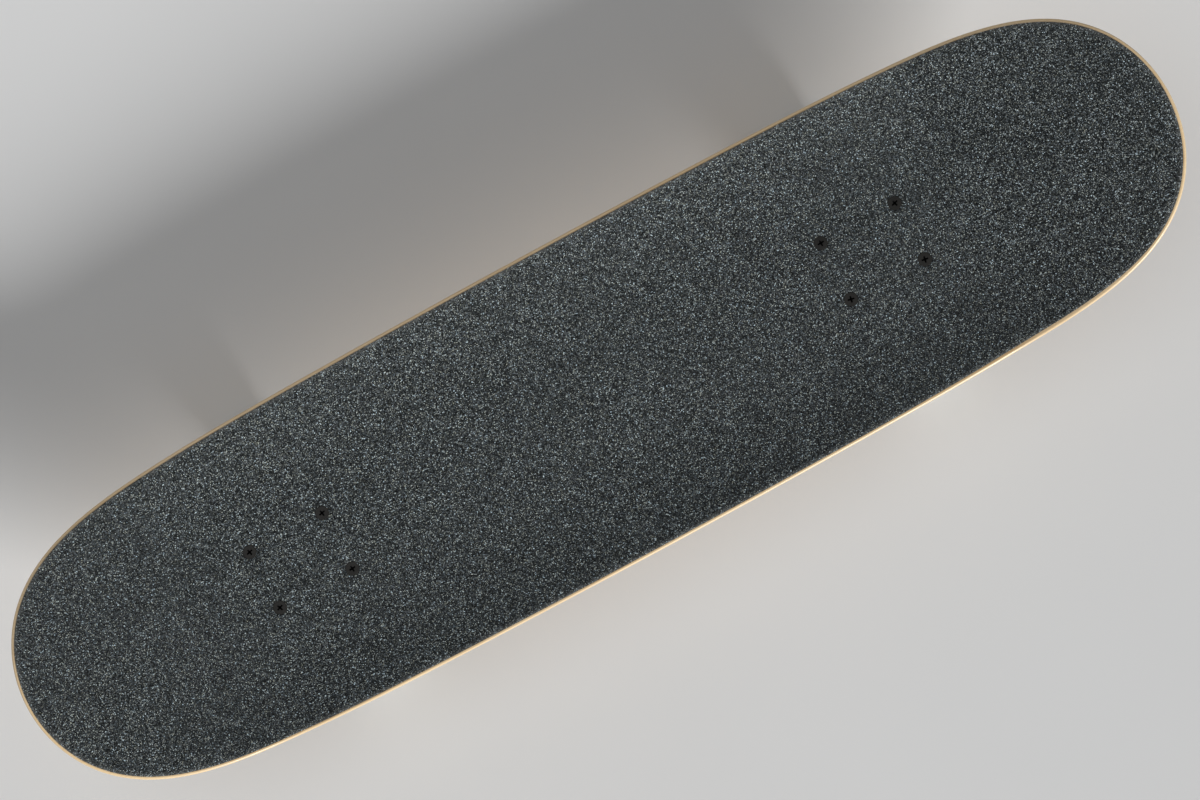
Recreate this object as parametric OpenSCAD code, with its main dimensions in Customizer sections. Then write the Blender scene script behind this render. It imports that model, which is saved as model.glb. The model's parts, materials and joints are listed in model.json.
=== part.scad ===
// Complete street skateboard: pressed maple deck, griptape, kingpin trucks, four wheels on 608 bearings.
// Board frame: +X to the nose, +Y to the left, +Z up, origin on the ground under the middle of the board.
// Truck frame: x outboard from the bolt pattern's centre, z away from the deck, z = 0 on the mounting face.

/* [Deck] */
// Length from nose tip to tail tip
deck_length = 813; // [795:1:840]
// Width at the widest place
deck_width = 209.55; // [203.2:1.27:215.9]
// Distance from the middle of the wheelbase to the nose tip
nose_reach = 412; // [404:1:425]
// Distance between the inner pairs of truck bolts
wheelbase = 368.3; // [355.6:3.175:374.65]
// Thickness of the seven-ply deck
deck_t = 11; // [10:0.5:12]
// Height of the side edges above the flat middle
concave_depth = 10; // [6:0.5:13]
// Angle of the nose
nose_angle = 21; // [17:0.5:24]
// Angle of the tail
tail_angle = 20; // [17:0.5:24]
// Radius of the nose and tail bends
kick_radius = 120; // [90:5:150]
// Squareness of the nose outline
nose_power = 9; // [7:0.1:11]
// Squareness of the tail outline
tail_power = 8.3; // [7:0.1:11]
// Thickness of the griptape
grip_t = 0.9; // [0.7:0.1:1.2]

/* [Truck] */
// Height from the mounting face to the middle of the axle
truck_height = 53; // [53:0.5:56]
// Length of the cast hanger along the axle
hanger_length = 133.35; // [127:0.635:139.7]
// How far each end of the axle stands out of the hanger
axle_reach = 34.925; // [34.9:0.1:35.4]

/* [Wheel] */
// Wheel diameter
wheel_d = 52; // [50:0.5:54]
// Wheel width
wheel_w = 32; // [30:0.5:33]
// Width of the straight tread
tread_w = 19; // [17:0.5:21]

/* [Hidden] */
$fn = 64;
ENDS = ["front", "rear"];
SIDES = ["left", "right"];
TRUCK_NODES = [
    "deck_bolts", "deck_locknuts", "baseplate", "pivot_cup",
    "kingpin", "kingpin_nut", "boardside_washer", "roadside_washer",
    "boardside_bushing", "roadside_bushing",
    "hanger", "axle", "axle_nuts", "speed_washers"
];
WHEEL_NODES = [
    "wheel", "bearing_outer_rings", "bearing_inner_rings", "bearing_balls",
    "bearing_cages", "bearing_shields", "bearing_spacer"
];

// Gap between a shaft and its bore, and the margin a cut goes past a face
gap = 0.05;
past = 1;

// Deck
bolt_pitch_x = 53.975;
bolt_pitch_y = 41.275;
middle_x = deck_length / 2 - nose_reach;
tail_reach = deck_length - nose_reach;
truck_x = (wheelbase + bolt_pitch_x) / 2;
kick_start = wheelbase / 2 + bolt_pitch_x + 8;
deck_under_z = wheel_d / 2 + truck_height;
deck_top_z = deck_under_z + deck_t;
top_edge_r = 2.2;
under_edge_r = 3.5;
side_taper = 4.8e-5;
flat_half = 32;
concave_share_at_tip = 0.5;
concave_fade = 130;
grip_bevel = 0.3;

// Deck bolts and locknuts, and how far round each bolt's cross was left
bolt_r = 2.4;
bolt_hole_r = 2.65;
bolt_length = 25.4;
bolt_head_r = 4.5;
bolt_head_rim = 0.4;
bolt_head_h = 2.4;
bolt_head_sink = 0.1;
grip_hole_r = 4.65;
cross_span = 4.8;
cross_w = 0.95;
cross_depth = 1.9;
front_cross_turns = [16, 82, 4, 80];
rear_cross_turns = [12, 6, 15, 20];
locknut_flats = 9.5;
locknut_hex_h = 3.8;
locknut_h = 5.6;
locknut_collar_r = 4.3;

// Baseplate
plate_l = 79;
plate_w = 56;
plate_t = 6;
plate_corner_r = 9;
kingpin_boss_r = 13.8;
kingpin_boss_depth = 14;
pivot_boss_r = 10.8;
saddle_w = 15;

// Kingpin stack, measured along the kingpin from the middle of the hanger's ring
kingpin_lean = 22;
ring_at = [-13, 31];
ring_r = 16.5;
ring_half_t = 4.2;
ring_web = 2.5;
ring_bore_r = 6.6;
ring_seat_r = 12.9;
washer_t = 2;
boardside_h = 14.5;
roadside_h = 10.5;
bushing_r = 12.5;
bushing_tip_r = 9.8;
bushing_bore_r = 5.1;
bushing_edge = 1;
cup_rim_h = 1.2;
cup_rim_t = 0.9;
seat_s = -ring_web - boardside_h - washer_t;
nut_s = ring_web + roadside_h + washer_t;
kingpin_r = 4.76;
kingpin_flats = 14.3;
kingpin_head_h = 5;
kingpin_head_s = seat_s - 5.5;
kingpin_nut_hex_h = 8;
kingpin_nut_h = 10.5;
kingpin_collar_r = 6.7;
thread_out = 2;

// Pivot, measured along the steering axis from the centre of the stem's ball end
pivot_at = [27.5, 11.5];
steer_angle = atan2(ring_at[1] - pivot_at[1], pivot_at[0] - ring_at[0]);
stem_r = 5.8;
stem_neck = 8;
stem_root_r = 8;
stem_root = 20;
cup_r = 7.6;
cup_floor = 6.9;
cup_mouth = 3.2;
pivot_boss_mouth = 2.6;
pivot_boss_back = 7.6;

// Axle and hanger
axle_x = 3;
axle_r = 3.97;
axle_half = hanger_length / 2 + axle_reach;
axle_chamfer = 0.6;
hanger_end_r = 8.2;
hanger_mid_r = 9.6;
wing_t = 8;
spine_t = 11;
bushing_room_r = 16;
nut_room_r = 13;
speed_washer_t = 1;
speed_washer_r = 6.3;
axle_nut_flats = 12.7;
axle_nut_hex_h = 6;
axle_nut_h = 8;
axle_collar_r = 5.9;

// 608 bearing, in pairs on a spacer, and the wheel around them
bearing_r = 11;
bearing_bore_r = 4;
bearing_w = 7;
pitch_r = 7.5;
ball_count = 7;
ball_r = 1.95;
groove_r = 2.05;
inner_land_r = 6.1;
outer_land_r = 8.9;
cage_w = 5;
cage_t = 1.2;
shield_t = 0.4;
shield_inset = 0.2;
shield_gap = 0.1;
spacer_l = 10;
spacer_r = 6;
hub_shoulder_r = 9.6;
hub_mouth_r = 12.8;
stack_half = spacer_l / 2 + bearing_w;
bearing_y = (spacer_l + bearing_w) / 2;
wheel_y = hanger_length / 2 + speed_washer_t + stack_half;

// ---------- Board surface ----------

// Height and slope of a bend that starts at d = 0 and runs on straight at the given angle
function bend_z(d, angle) =
    d <= 0 ? 0 :
    d < kick_radius * sin(angle) ? kick_radius - sqrt(kick_radius ^ 2 - d ^ 2) :
    kick_radius * (1 - cos(angle)) + (d - kick_radius * sin(angle)) * tan(angle);

function bend_slope(d, angle) =
    d <= 0 ? 0 :
    d < kick_radius * sin(angle) ? d / sqrt(kick_radius ^ 2 - d ^ 2) :
    tan(angle);

// How far past the start of the nose's or the tail's bend x lies
function kick_run(x) = abs(x - middle_x) - kick_start;

function kick_angle(x) = x > middle_x ? nose_angle : tail_angle;

function concave_share(x) = 1 - (1 - concave_share_at_tip) * min(1, max(0, kick_run(x) / concave_fade));

function concave(x, y) =
    let (across = max(0, abs(y) - flat_half) / (deck_width / 2 - flat_half))
    concave_depth * concave_share(x) * across ^ 2;

function top_z(x, y) = deck_top_z + bend_z(kick_run(x), kick_angle(x)) + concave(x, y);

function under_z(x, y) = top_z(x, y) - deck_t * sqrt(1 + bend_slope(kick_run(x), kick_angle(x)) ^ 2);

// Half the board's width at a distance u from the middle of the wheelbase
function half_width(u) =
    let (share = u > 0 ? (u / nose_reach) ^ nose_power : (-u / tail_reach) ^ tail_power)
    (deck_width / 2 - side_taper * u ^ 2) * sqrt(max(0, 1 - share));

// Columns of surface points from one bend's end out to the tip, closer together as the outline turns
function tip_columns(reach, power, bend_end) = [
    for (a = [2.5 : 5 : 77.5])
        let (u = reach * cos(a) ^ (2 / power))
        if (u > bend_end + 3) u
];

function bend_columns(run) = [for (share = [1 : -0.25 : 0.25]) kick_start + share * run];

function reversed(list) = [for (i = [len(list) - 1 : -1 : 0]) list[i]];

nose_run = kick_radius * sin(nose_angle);
tail_run = kick_radius * sin(tail_angle);
middle_count = 14;
columns = concat(
    tip_columns(nose_reach, nose_power, kick_start + nose_run),
    bend_columns(nose_run),
    [for (i = [0 : middle_count]) kick_start * (1 - 2 * i / middle_count)],
    -reversed(bend_columns(tail_run)),
    -reversed(tip_columns(tail_reach, tail_power, kick_start + tail_run))
);
rows = [1, 0.88, 0.74, 0.6, 0.45, 0.3, 0, -0.3, -0.45, -0.6, -0.74, -0.88, -1];
last_column = len(columns) - 1;
last_row = len(rows) - 1;
grid_size = len(columns) * len(rows);

// The left side of the outline, which meets its mirror image at both tips
side = [for (u = columns) [middle_x + u, half_width(u)]];

function beside(i) =
    i < 0 ? [side[0][0], -side[0][1]] :
    i > last_column ? [side[last_column][0], -side[last_column][1]] :
    side[i];

function inward(i) =
    let (t = beside(i + 1) - beside(i - 1))
    [-t[1], t[0]] / norm(t);

// Grid places [column, row] in order round the edge of the board
rim = concat(
    [for (i = [0 : last_column]) [i, 0]],
    [for (j = [1 : last_row]) [last_column, j]],
    [for (i = [last_column - 1 : -1 : 0]) [i, last_row]],
    [for (j = [last_row - 1 : -1 : 1]) [0, j]]
);

// A layer is [inset from the outline, true on the top or false on the underside, height above that side]
function layer_point(layer, i, j) =
    let (p = side[i] + layer[0] * inward(i))
    let (y = p[1] * rows[j])
    [p[0], y, (layer[1] ? top_z(p[0], y) : under_z(p[0], y)) + layer[2]];

function grid_points(layer) = [for (i = [0 : last_column]) for (j = [0 : last_row]) layer_point(layer, i, j)];

function rim_points(layer) = [for (place = rim) layer_point(layer, place[0], place[1])];

function place_index(place) = place[0] * len(rows) + place[1];

function grid_faces(first, up) = [
    for (i = [0 : last_column - 1]) for (j = [0 : last_row - 1])
        let (a = first + place_index([i, j]), b = first + place_index([i + 1, j]))
        for (face = up ? [[a, a + 1, b + 1], [a, b + 1, b]] : [[a, b + 1, a + 1], [a, b, b + 1]]) face
];

// A closed sheet: the first and last layers are its gridded faces, and the rims between them make its edge
module layered_sheet(layers) {
    n = len(layers);
    last_grid = grid_size + (n - 2) * len(rim);
    points = concat(
        grid_points(layers[0]),
        [for (m = [1 : n - 2]) each rim_points(layers[m])],
        grid_points(layers[n - 1])
    );
    function rim_index(m, k) =
        m == 0 ? place_index(rim[k]) :
        m == n - 1 ? last_grid + place_index(rim[k]) :
        grid_size + (m - 1) * len(rim) + k;
    edge_faces = [
        for (m = [0 : n - 2]) for (k = [0 : len(rim) - 1])
            let (next = (k + 1) % len(rim), a = rim_index(m, k), c = rim_index(m + 1, next))
            for (face = [[a, rim_index(m, next), c], [a, c, rim_index(m + 1, k)]]) face
    ];
    polyhedron(points, concat(grid_faces(0, true), edge_faces, grid_faces(last_grid, false)));
}

// ---------- Shared shapes ----------

module tube(r, bore_r, h) {
    difference() {
        cylinder(r = r, h = h);
        translate([0, 0, -past]) cylinder(r = bore_r, h = h + 2 * past);
    }
}

module hex_prism(flats, h) {
    cylinder(r = flats / sqrt(3), h = h, $fn = 6);
}

// Hexagon with a round nylon-insert collar, standing on its hexagon
module locking_nut(flats, hex_h, collar_r, h, bore_r) {
    difference() {
        union() {
            hex_prism(flats, hex_h);
            cylinder(r = collar_r, h = h);
        }
        translate([0, 0, -past]) cylinder(r = bore_r, h = h + 2 * past);
    }
}

// Places in the board frame: a truck's mounting face, turned for its end, and a wheel's middle
module at_truck(end) {
    translate([middle_x + end * truck_x, 0, deck_under_z])
        rotate(end > 0 ? [180, 0, 0] : [0, 180, 0])
            children();
}

module at_wheel(end, hand) {
    translate([middle_x + end * (truck_x + axle_x), hand * wheel_y, wheel_d / 2])
        rotate([90, 0, 0])
            children();
}

// Places in the truck frame. Each bolt's number goes to the children as $bolt
module at_each_bolt() {
    for ($bolt = [0 : 3])
        translate([($bolt < 2 ? 1 : -1) * bolt_pitch_x / 2, ($bolt % 2 == 0 ? 1 : -1) * bolt_pitch_y / 2, 0])
            children();
}

// Along the kingpin: +Z to the nut, z = 0 at the middle of the ring
module on_kingpin() {
    translate([ring_at[0], 0, ring_at[1]])
        rotate([0, -kingpin_lean, 0])
            children();
}

// Along the steering axis: +Z to the ring, z = 0 at the ball end of the stem
module on_pivot() {
    translate([pivot_at[0], 0, pivot_at[1]])
        rotate([0, steer_angle - 90, 0])
            children();
}

// Along the axle: +Z out to each end in turn, z = 0 at its middle
module each_axle_end() {
    for (hand = [-1, 1])
        translate([axle_x, 0, truck_height])
            rotate([hand * 90, 0, 0])
                children();
}

// A slice in the truck's middle plane, drawn as [x, z] and given a width across the board
module middle_slice(width) {
    rotate([90, 0, 0])
        linear_extrude(width, center = true)
            children();
}

// ---------- Deck ----------

module bolt_head_cone(extra = 0) {
    h = bolt_head_h - bolt_head_rim;
    cylinder(r1 = bolt_r + extra, r2 = bolt_head_r + extra, h = h);
}

// Deck bolts in the board frame, z = 0 at the top of their heads
module at_bolt_heads(end) {
    translate([middle_x + end * truck_x, 0, deck_top_z + grip_t - bolt_head_sink])
        at_each_bolt()
            children();
}

module deck() {
    top = [for (a = [0 : 30 : 90]) [top_edge_r * (1 - sin(a)), true, -top_edge_r * (1 - cos(a))]];
    under = [for (a = [90 : -30 : 0]) [under_edge_r * (1 - sin(a)), false, under_edge_r * (1 - cos(a))]];
    color("burlywood")
        difference() {
            layered_sheet(concat(top, under));
            for (end = [-1, 1]) at_bolt_heads(end) {
                translate([0, 0, -2 * deck_t]) cylinder(r = bolt_hole_r, h = 3 * deck_t);
                translate([0, 0, -bolt_head_h]) bolt_head_cone(gap);
            }
        }
}

module griptape() {
    color([0.16, 0.17, 0.17])
        difference() {
            layered_sheet([
                [top_edge_r + grip_bevel, true, grip_t],
                [top_edge_r, true, grip_t - grip_bevel],
                [top_edge_r, true, 0]
            ]);
            for (end = [-1, 1]) at_bolt_heads(end)
                translate([0, 0, -deck_t]) cylinder(r = grip_hole_r, h = 2 * deck_t);
        }
}

module cross_recess() {
    intersection() {
        for (turn = [0, 90])
            rotate(turn) translate([-cross_span, -cross_w / 2, -cross_depth])
                cube([2 * cross_span, cross_w, cross_depth + past]);
        translate([0, 0, -cross_depth])
            cylinder(r1 = cross_span / 4, r2 = cross_span / 2, h = cross_depth + gap);
    }
}

module deck_bolt(turn) {
    difference() {
        union() {
            translate([0, 0, -bolt_head_rim]) cylinder(r = bolt_head_r, h = bolt_head_rim);
            translate([0, 0, -bolt_head_h]) bolt_head_cone();
            translate([0, 0, -bolt_length]) cylinder(r = bolt_r, h = bolt_length - bolt_head_rim);
        }
        rotate(turn) cross_recess();
    }
}

module deck_bolts(end) {
    color([0.13, 0.13, 0.14])
        at_bolt_heads(end)
            deck_bolt(end > 0 ? front_cross_turns[$bolt] : rear_cross_turns[$bolt]);
}

module deck_locknuts(end) {
    color([0.2, 0.2, 0.21])
        at_truck(end)
            at_each_bolt()
                translate([0, 0, plate_t])
                    locking_nut(locknut_flats, locknut_hex_h, locknut_collar_r, locknut_h, bolt_r + gap);
}

// ---------- Truck: the half that is fixed to the deck ----------

module plate_outline() {
    square([plate_l, plate_w - 2 * plate_corner_r], center = true);
    square([plate_l - 2 * plate_corner_r, plate_w], center = true);
    for (sx = [-1, 1]) for (sy = [-1, 1])
        translate([sx * (plate_l / 2 - plate_corner_r), sy * (plate_w / 2 - plate_corner_r)])
            circle(r = plate_corner_r);
}

// Low wall between the two bosses, under the hanger
module saddle() {
    middle_slice(saddle_w)
        polygon([[-24, 0], [-19, 8], [-8, 8], [8, 12], [16, 7], [24, 7], [36, 4], [38, 0]]);
}

module baseplate(end) {
    color("silver")
        at_truck(end)
            difference() {
                intersection() {
                    union() {
                        linear_extrude(plate_t) plate_outline();
                        on_kingpin() translate([0, 0, seat_s - kingpin_boss_depth])
                            cylinder(r = kingpin_boss_r, h = kingpin_boss_depth);
                        on_pivot() translate([0, 0, -pivot_boss_back])
                            cylinder(r = pivot_boss_r, h = pivot_boss_back + pivot_boss_mouth);
                        saddle();
                    }
                    translate([0, 0, plate_l / 2]) cube(plate_l, center = true);
                }
                at_each_bolt() translate([0, 0, -past])
                    cylinder(r = bolt_hole_r, h = plate_t + 2 * past);
                on_kingpin() translate([0, 0, seat_s - plate_l / 2])
                    cylinder(r = kingpin_r + gap, h = plate_l / 2 + past);
                on_kingpin() translate([0, 0, kingpin_head_s - plate_l / 2])
                    hex_prism(kingpin_flats + 2 * gap, plate_l / 2);
                on_pivot() translate([0, 0, -cup_floor]) cylinder(r = cup_r, h = cup_floor + cup_mouth + past);
            }
}

module pivot_cup(end) {
    color([0.12, 0.12, 0.12])
        at_truck(end)
            on_pivot()
                difference() {
                    translate([0, 0, -cup_floor]) cylinder(r = cup_r, h = cup_floor + cup_mouth);
                    sphere(r = stem_r + gap);
                    cylinder(r = stem_r + gap, h = cup_mouth + past);
                }
}

module kingpin(end) {
    length = nut_s + kingpin_nut_h + thread_out - kingpin_head_s;
    color([0.55, 0.56, 0.58])
        at_truck(end)
            on_kingpin()
                translate([0, 0, kingpin_head_s]) {
                    translate([0, 0, -kingpin_head_h]) hex_prism(kingpin_flats, kingpin_head_h);
                    cylinder(r = kingpin_r, h = length - axle_chamfer);
                    translate([0, 0, length - axle_chamfer])
                        cylinder(r1 = kingpin_r, r2 = kingpin_r - axle_chamfer, h = axle_chamfer);
                }
}

module kingpin_nut(end) {
    color([0.6, 0.61, 0.63])
        at_truck(end)
            on_kingpin()
                translate([0, 0, nut_s])
                    locking_nut(
                        kingpin_flats, kingpin_nut_hex_h, kingpin_collar_r, kingpin_nut_h, kingpin_r + gap
                    );
}

// Cupped washer with its rim up round the foot of a bushing of radius r
module cup_washer(r) {
    rotate_extrude()
        polygon([
            [kingpin_r + gap, 0],
            [r + gap + cup_rim_t, 0],
            [r + gap + cup_rim_t, washer_t + cup_rim_h],
            [r + gap, washer_t + cup_rim_h],
            [r + gap, washer_t],
            [kingpin_r + gap, washer_t]
        ]);
}

module boardside_washer(end) {
    color([0.62, 0.63, 0.65])
        at_truck(end)
            on_kingpin()
                translate([0, 0, seat_s]) cup_washer(bushing_r);
}

module roadside_washer(end) {
    color([0.62, 0.63, 0.65])
        at_truck(end)
            on_kingpin()
                translate([0, 0, nut_s]) mirror([0, 0, 1]) cup_washer(bushing_tip_r);
}

// Bushing from radius r1 up to radius r2, with its outer edges bevelled
module bushing(r1, r2, h) {
    rotate_extrude()
        polygon([
            [bushing_bore_r, 0],
            [r1 - bushing_edge, 0],
            [r1, bushing_edge],
            [r2, h - bushing_edge],
            [r2 - bushing_edge, h],
            [bushing_bore_r, h]
        ]);
}

module boardside_bushing(end) {
    color("white")
        at_truck(end)
            on_kingpin()
                translate([0, 0, seat_s + washer_t]) bushing(bushing_r, bushing_r, boardside_h);
}

module roadside_bushing(end) {
    color("white")
        at_truck(end)
            on_kingpin()
                translate([0, 0, ring_web]) bushing(bushing_r, bushing_tip_r, roadside_h);
}

// ---------- Truck: the half that steers ----------

// Cut from the hanger round the kingpin: its bore, a seat for each bushing and room to tilt beside them
module kingpin_room() {
    on_kingpin() {
        cylinder(r = ring_bore_r, h = 4 * ring_half_t, center = true);
        for (way = [-1, 1])
            translate([0, 0, way * (ring_web + ring_half_t)])
                cylinder(r = ring_seat_r, h = 2 * ring_half_t, center = true);
        translate([0, 0, ring_half_t]) cylinder(r = nut_room_r, h = hanger_length);
        translate([0, 0, -ring_half_t - hanger_length]) cylinder(r = bushing_room_r, h = hanger_length);
    }
}

// Ball-ended stem that turns in the pivot cup, widening into the body of the hanger
module pivot_stem() {
    on_pivot() {
        sphere(r = stem_r);
        cylinder(r = stem_r, h = stem_neck);
        translate([0, 0, stem_neck]) cylinder(r1 = stem_r, r2 = stem_root_r, h = stem_root - stem_neck);
    }
}

// Wall across the truck that carries the barrel's load down to the ring
module wings() {
    translate([axle_x - 0.5, 0, 0])
        rotate([90, 0, 90])
            linear_extrude(wing_t, center = true)
                polygon([
                    [-52, truck_height], [-40, truck_height - 10], [-13, 33], [-9, 27],
                    [9, 27], [13, 33], [40, truck_height - 10], [52, truck_height]
                ]);
}

// Keel in the middle plane, from the stem up to the barrel
module spine() {
    middle_slice(spine_t)
        polygon([
            [20.3, 15], [22.8, 20.2], [15.5, 28], [11.5, 37], [10, 48],
            [0, 50], [-3, 36], [-3, 28], [6, 21.5]
        ]);
}

module hanger(end) {
    color("silver")
        at_truck(end)
            difference() {
                union() {
                    each_axle_end() cylinder(r1 = hanger_mid_r, r2 = hanger_end_r, h = hanger_length / 2);
                    on_kingpin() cylinder(r = ring_r, h = 2 * ring_half_t, center = true);
                    pivot_stem();
                    wings();
                    spine();
                }
                kingpin_room();
                each_axle_end() cylinder(r = axle_r, h = hanger_length);
            }
}

module axle(end) {
    color([0.6, 0.61, 0.63])
        at_truck(end)
            each_axle_end() {
                cylinder(r = axle_r, h = axle_half - axle_chamfer);
                translate([0, 0, axle_half - axle_chamfer])
                    cylinder(r1 = axle_r, r2 = axle_r - axle_chamfer, h = axle_chamfer);
            }
}

module axle_nuts(end) {
    color([0.6, 0.61, 0.63])
        at_truck(end)
            each_axle_end()
                translate([0, 0, hanger_length / 2 + 2 * speed_washer_t + 2 * stack_half])
                    locking_nut(axle_nut_flats, axle_nut_hex_h, axle_collar_r, axle_nut_h, axle_r + gap);
}

module speed_washers(end) {
    color([0.7, 0.71, 0.73])
        at_truck(end)
            each_axle_end()
                for (z = [0, speed_washer_t + 2 * stack_half])
                    translate([0, 0, hanger_length / 2 + z])
                        tube(speed_washer_r, axle_r + gap, speed_washer_t);
}

// ---------- Wheel and bearings ----------

module at_each_bearing() {
    for (way = [-1, 1])
        translate([0, 0, way * bearing_y])
            children();
}

// Half section of the tyre, [radius, distance along the axle]
module tyre_section() {
    lip_r = (wheel_w - tread_w) / 2;
    translate([0, -tread_w / 2]) square([wheel_d / 2, tread_w]);
    translate([0, -wheel_w / 2]) square([wheel_d / 2 - lip_r, wheel_w]);
    for (way = [-1, 1])
        translate([wheel_d / 2 - lip_r, way * tread_w / 2]) circle(r = lip_r);
}

module wheel(end, hand) {
    color([0.93, 0.92, 0.88])
        at_wheel(end, hand)
            difference() {
                rotate_extrude() intersection() {
                    tyre_section();
                    translate([0, -wheel_w]) square([wheel_d, 2 * wheel_w]);
                }
                cylinder(r = hub_shoulder_r, h = 2 * wheel_w, center = true);
                for (way = [-1, 1]) {
                    translate([0, 0, way * (spacer_l / 2 + wheel_w / 2)])
                        cylinder(r = bearing_r, h = wheel_w, center = true);
                    translate([0, 0, way * (stack_half + wheel_w / 2)])
                        cylinder(r = hub_mouth_r, h = wheel_w, center = true);
                }
            }
}

module ball_groove() {
    rotate_extrude() translate([pitch_r, 0]) circle(r = groove_r);
}

module bearing_ring(r, bore_r) {
    difference() {
        translate([0, 0, -bearing_w / 2]) tube(r, bore_r, bearing_w);
        ball_groove();
    }
}

module bearing_outer_rings(end, hand) {
    seat = bearing_w / 2 - shield_inset - shield_t;
    color([0.72, 0.73, 0.75])
        at_wheel(end, hand)
            at_each_bearing()
                difference() {
                    bearing_ring(bearing_r, outer_land_r);
                    for (way = [0, 1])
                        mirror([0, 0, way]) translate([0, 0, seat])
                            cylinder(r = outer_land_r + shield_t, h = bearing_w);
                }
}

module bearing_inner_rings(end, hand) {
    color([0.72, 0.73, 0.75])
        at_wheel(end, hand)
            at_each_bearing()
                bearing_ring(inner_land_r, bearing_bore_r);
}

module at_each_ball() {
    for (i = [0 : ball_count - 1])
        rotate(i * 360 / ball_count) translate([pitch_r, 0, 0])
            children();
}

module bearing_balls(end, hand) {
    color([0.8, 0.81, 0.83])
        at_wheel(end, hand)
            at_each_bearing()
                at_each_ball()
                    sphere(r = ball_r);
}

module bearing_cages(end, hand) {
    color([0.75, 0.62, 0.35])
        at_wheel(end, hand)
            at_each_bearing()
                difference() {
                    translate([0, 0, -cage_w / 2])
                        tube(pitch_r + cage_t / 2, pitch_r - cage_t / 2, cage_w);
                    at_each_ball() rotate([0, 90, 0]) cylinder(r = groove_r, h = 2 * cage_t, center = true);
                }
}

module bearing_shields(end, hand) {
    color([0.16, 0.16, 0.17])
        at_wheel(end, hand)
            at_each_bearing()
                for (way = [0, 1])
                    mirror([0, 0, way]) translate([0, 0, bearing_w / 2 - shield_inset - shield_t])
                        tube(outer_land_r + shield_t, inner_land_r + shield_gap, shield_t);
}

module bearing_spacer(end, hand) {
    color([0.7, 0.71, 0.73])
        at_wheel(end, hand)
            translate([0, 0, -spacer_l / 2])
                tube(spacer_r, axle_r + gap, spacer_l);
}

// ---------- Nodes ----------

module front_deck_bolts() deck_bolts(1);
module front_deck_locknuts() deck_locknuts(1);
module front_baseplate() baseplate(1);
module front_pivot_cup() pivot_cup(1);
module front_kingpin() kingpin(1);
module front_kingpin_nut() kingpin_nut(1);
module front_boardside_washer() boardside_washer(1);
module front_roadside_washer() roadside_washer(1);
module front_boardside_bushing() boardside_bushing(1);
module front_roadside_bushing() roadside_bushing(1);
module front_hanger() hanger(1);
module front_axle() axle(1);
module front_axle_nuts() axle_nuts(1);
module front_speed_washers() speed_washers(1);
module rear_deck_bolts() deck_bolts(-1);
module rear_deck_locknuts() deck_locknuts(-1);
module rear_baseplate() baseplate(-1);
module rear_pivot_cup() pivot_cup(-1);
module rear_kingpin() kingpin(-1);
module rear_kingpin_nut() kingpin_nut(-1);
module rear_boardside_washer() boardside_washer(-1);
module rear_roadside_washer() roadside_washer(-1);
module rear_boardside_bushing() boardside_bushing(-1);
module rear_roadside_bushing() roadside_bushing(-1);
module rear_hanger() hanger(-1);
module rear_axle() axle(-1);
module rear_axle_nuts() axle_nuts(-1);
module rear_speed_washers() speed_washers(-1);
module front_left_wheel() wheel(1, 1);
module front_left_bearing_outer_rings() bearing_outer_rings(1, 1);
module front_left_bearing_inner_rings() bearing_inner_rings(1, 1);
module front_left_bearing_balls() bearing_balls(1, 1);
module front_left_bearing_cages() bearing_cages(1, 1);
module front_left_bearing_shields() bearing_shields(1, 1);
module front_left_bearing_spacer() bearing_spacer(1, 1);
module front_right_wheel() wheel(1, -1);
module front_right_bearing_outer_rings() bearing_outer_rings(1, -1);
module front_right_bearing_inner_rings() bearing_inner_rings(1, -1);
module front_right_bearing_balls() bearing_balls(1, -1);
module front_right_bearing_cages() bearing_cages(1, -1);
module front_right_bearing_shields() bearing_shields(1, -1);
module front_right_bearing_spacer() bearing_spacer(1, -1);
module rear_left_wheel() wheel(-1, 1);
module rear_left_bearing_outer_rings() bearing_outer_rings(-1, 1);
module rear_left_bearing_inner_rings() bearing_inner_rings(-1, 1);
module rear_left_bearing_balls() bearing_balls(-1, 1);
module rear_left_bearing_cages() bearing_cages(-1, 1);
module rear_left_bearing_shields() bearing_shields(-1, 1);
module rear_left_bearing_spacer() bearing_spacer(-1, 1);
module rear_right_wheel() wheel(-1, -1);
module rear_right_bearing_outer_rings() bearing_outer_rings(-1, -1);
module rear_right_bearing_inner_rings() bearing_inner_rings(-1, -1);
module rear_right_bearing_balls() bearing_balls(-1, -1);
module rear_right_bearing_cages() bearing_cages(-1, -1);
module rear_right_bearing_shields() bearing_shields(-1, -1);
module rear_right_bearing_spacer() bearing_spacer(-1, -1);

deck();
griptape();
front_deck_bolts();
front_deck_locknuts();
front_baseplate();
front_pivot_cup();
front_kingpin();
front_kingpin_nut();
front_boardside_washer();
front_roadside_washer();
front_boardside_bushing();
front_roadside_bushing();
front_hanger();
front_axle();
front_axle_nuts();
front_speed_washers();
rear_deck_bolts();
rear_deck_locknuts();
rear_baseplate();
rear_pivot_cup();
rear_kingpin();
rear_kingpin_nut();
rear_boardside_washer();
rear_roadside_washer();
rear_boardside_bushing();
rear_roadside_bushing();
rear_hanger();
rear_axle();
rear_axle_nuts();
rear_speed_washers();
front_left_wheel();
front_left_bearing_outer_rings();
front_left_bearing_inner_rings();
front_left_bearing_balls();
front_left_bearing_cages();
front_left_bearing_shields();
front_left_bearing_spacer();
front_right_wheel();
front_right_bearing_outer_rings();
front_right_bearing_inner_rings();
front_right_bearing_balls();
front_right_bearing_cages();
front_right_bearing_shields();
front_right_bearing_spacer();
rear_left_wheel();
rear_left_bearing_outer_rings();
rear_left_bearing_inner_rings();
rear_left_bearing_balls();
rear_left_bearing_cages();
rear_left_bearing_shields();
rear_left_bearing_spacer();
rear_right_wheel();
rear_right_bearing_outer_rings();
rear_right_bearing_inner_rings();
rear_right_bearing_balls();
rear_right_bearing_cages();
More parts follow.
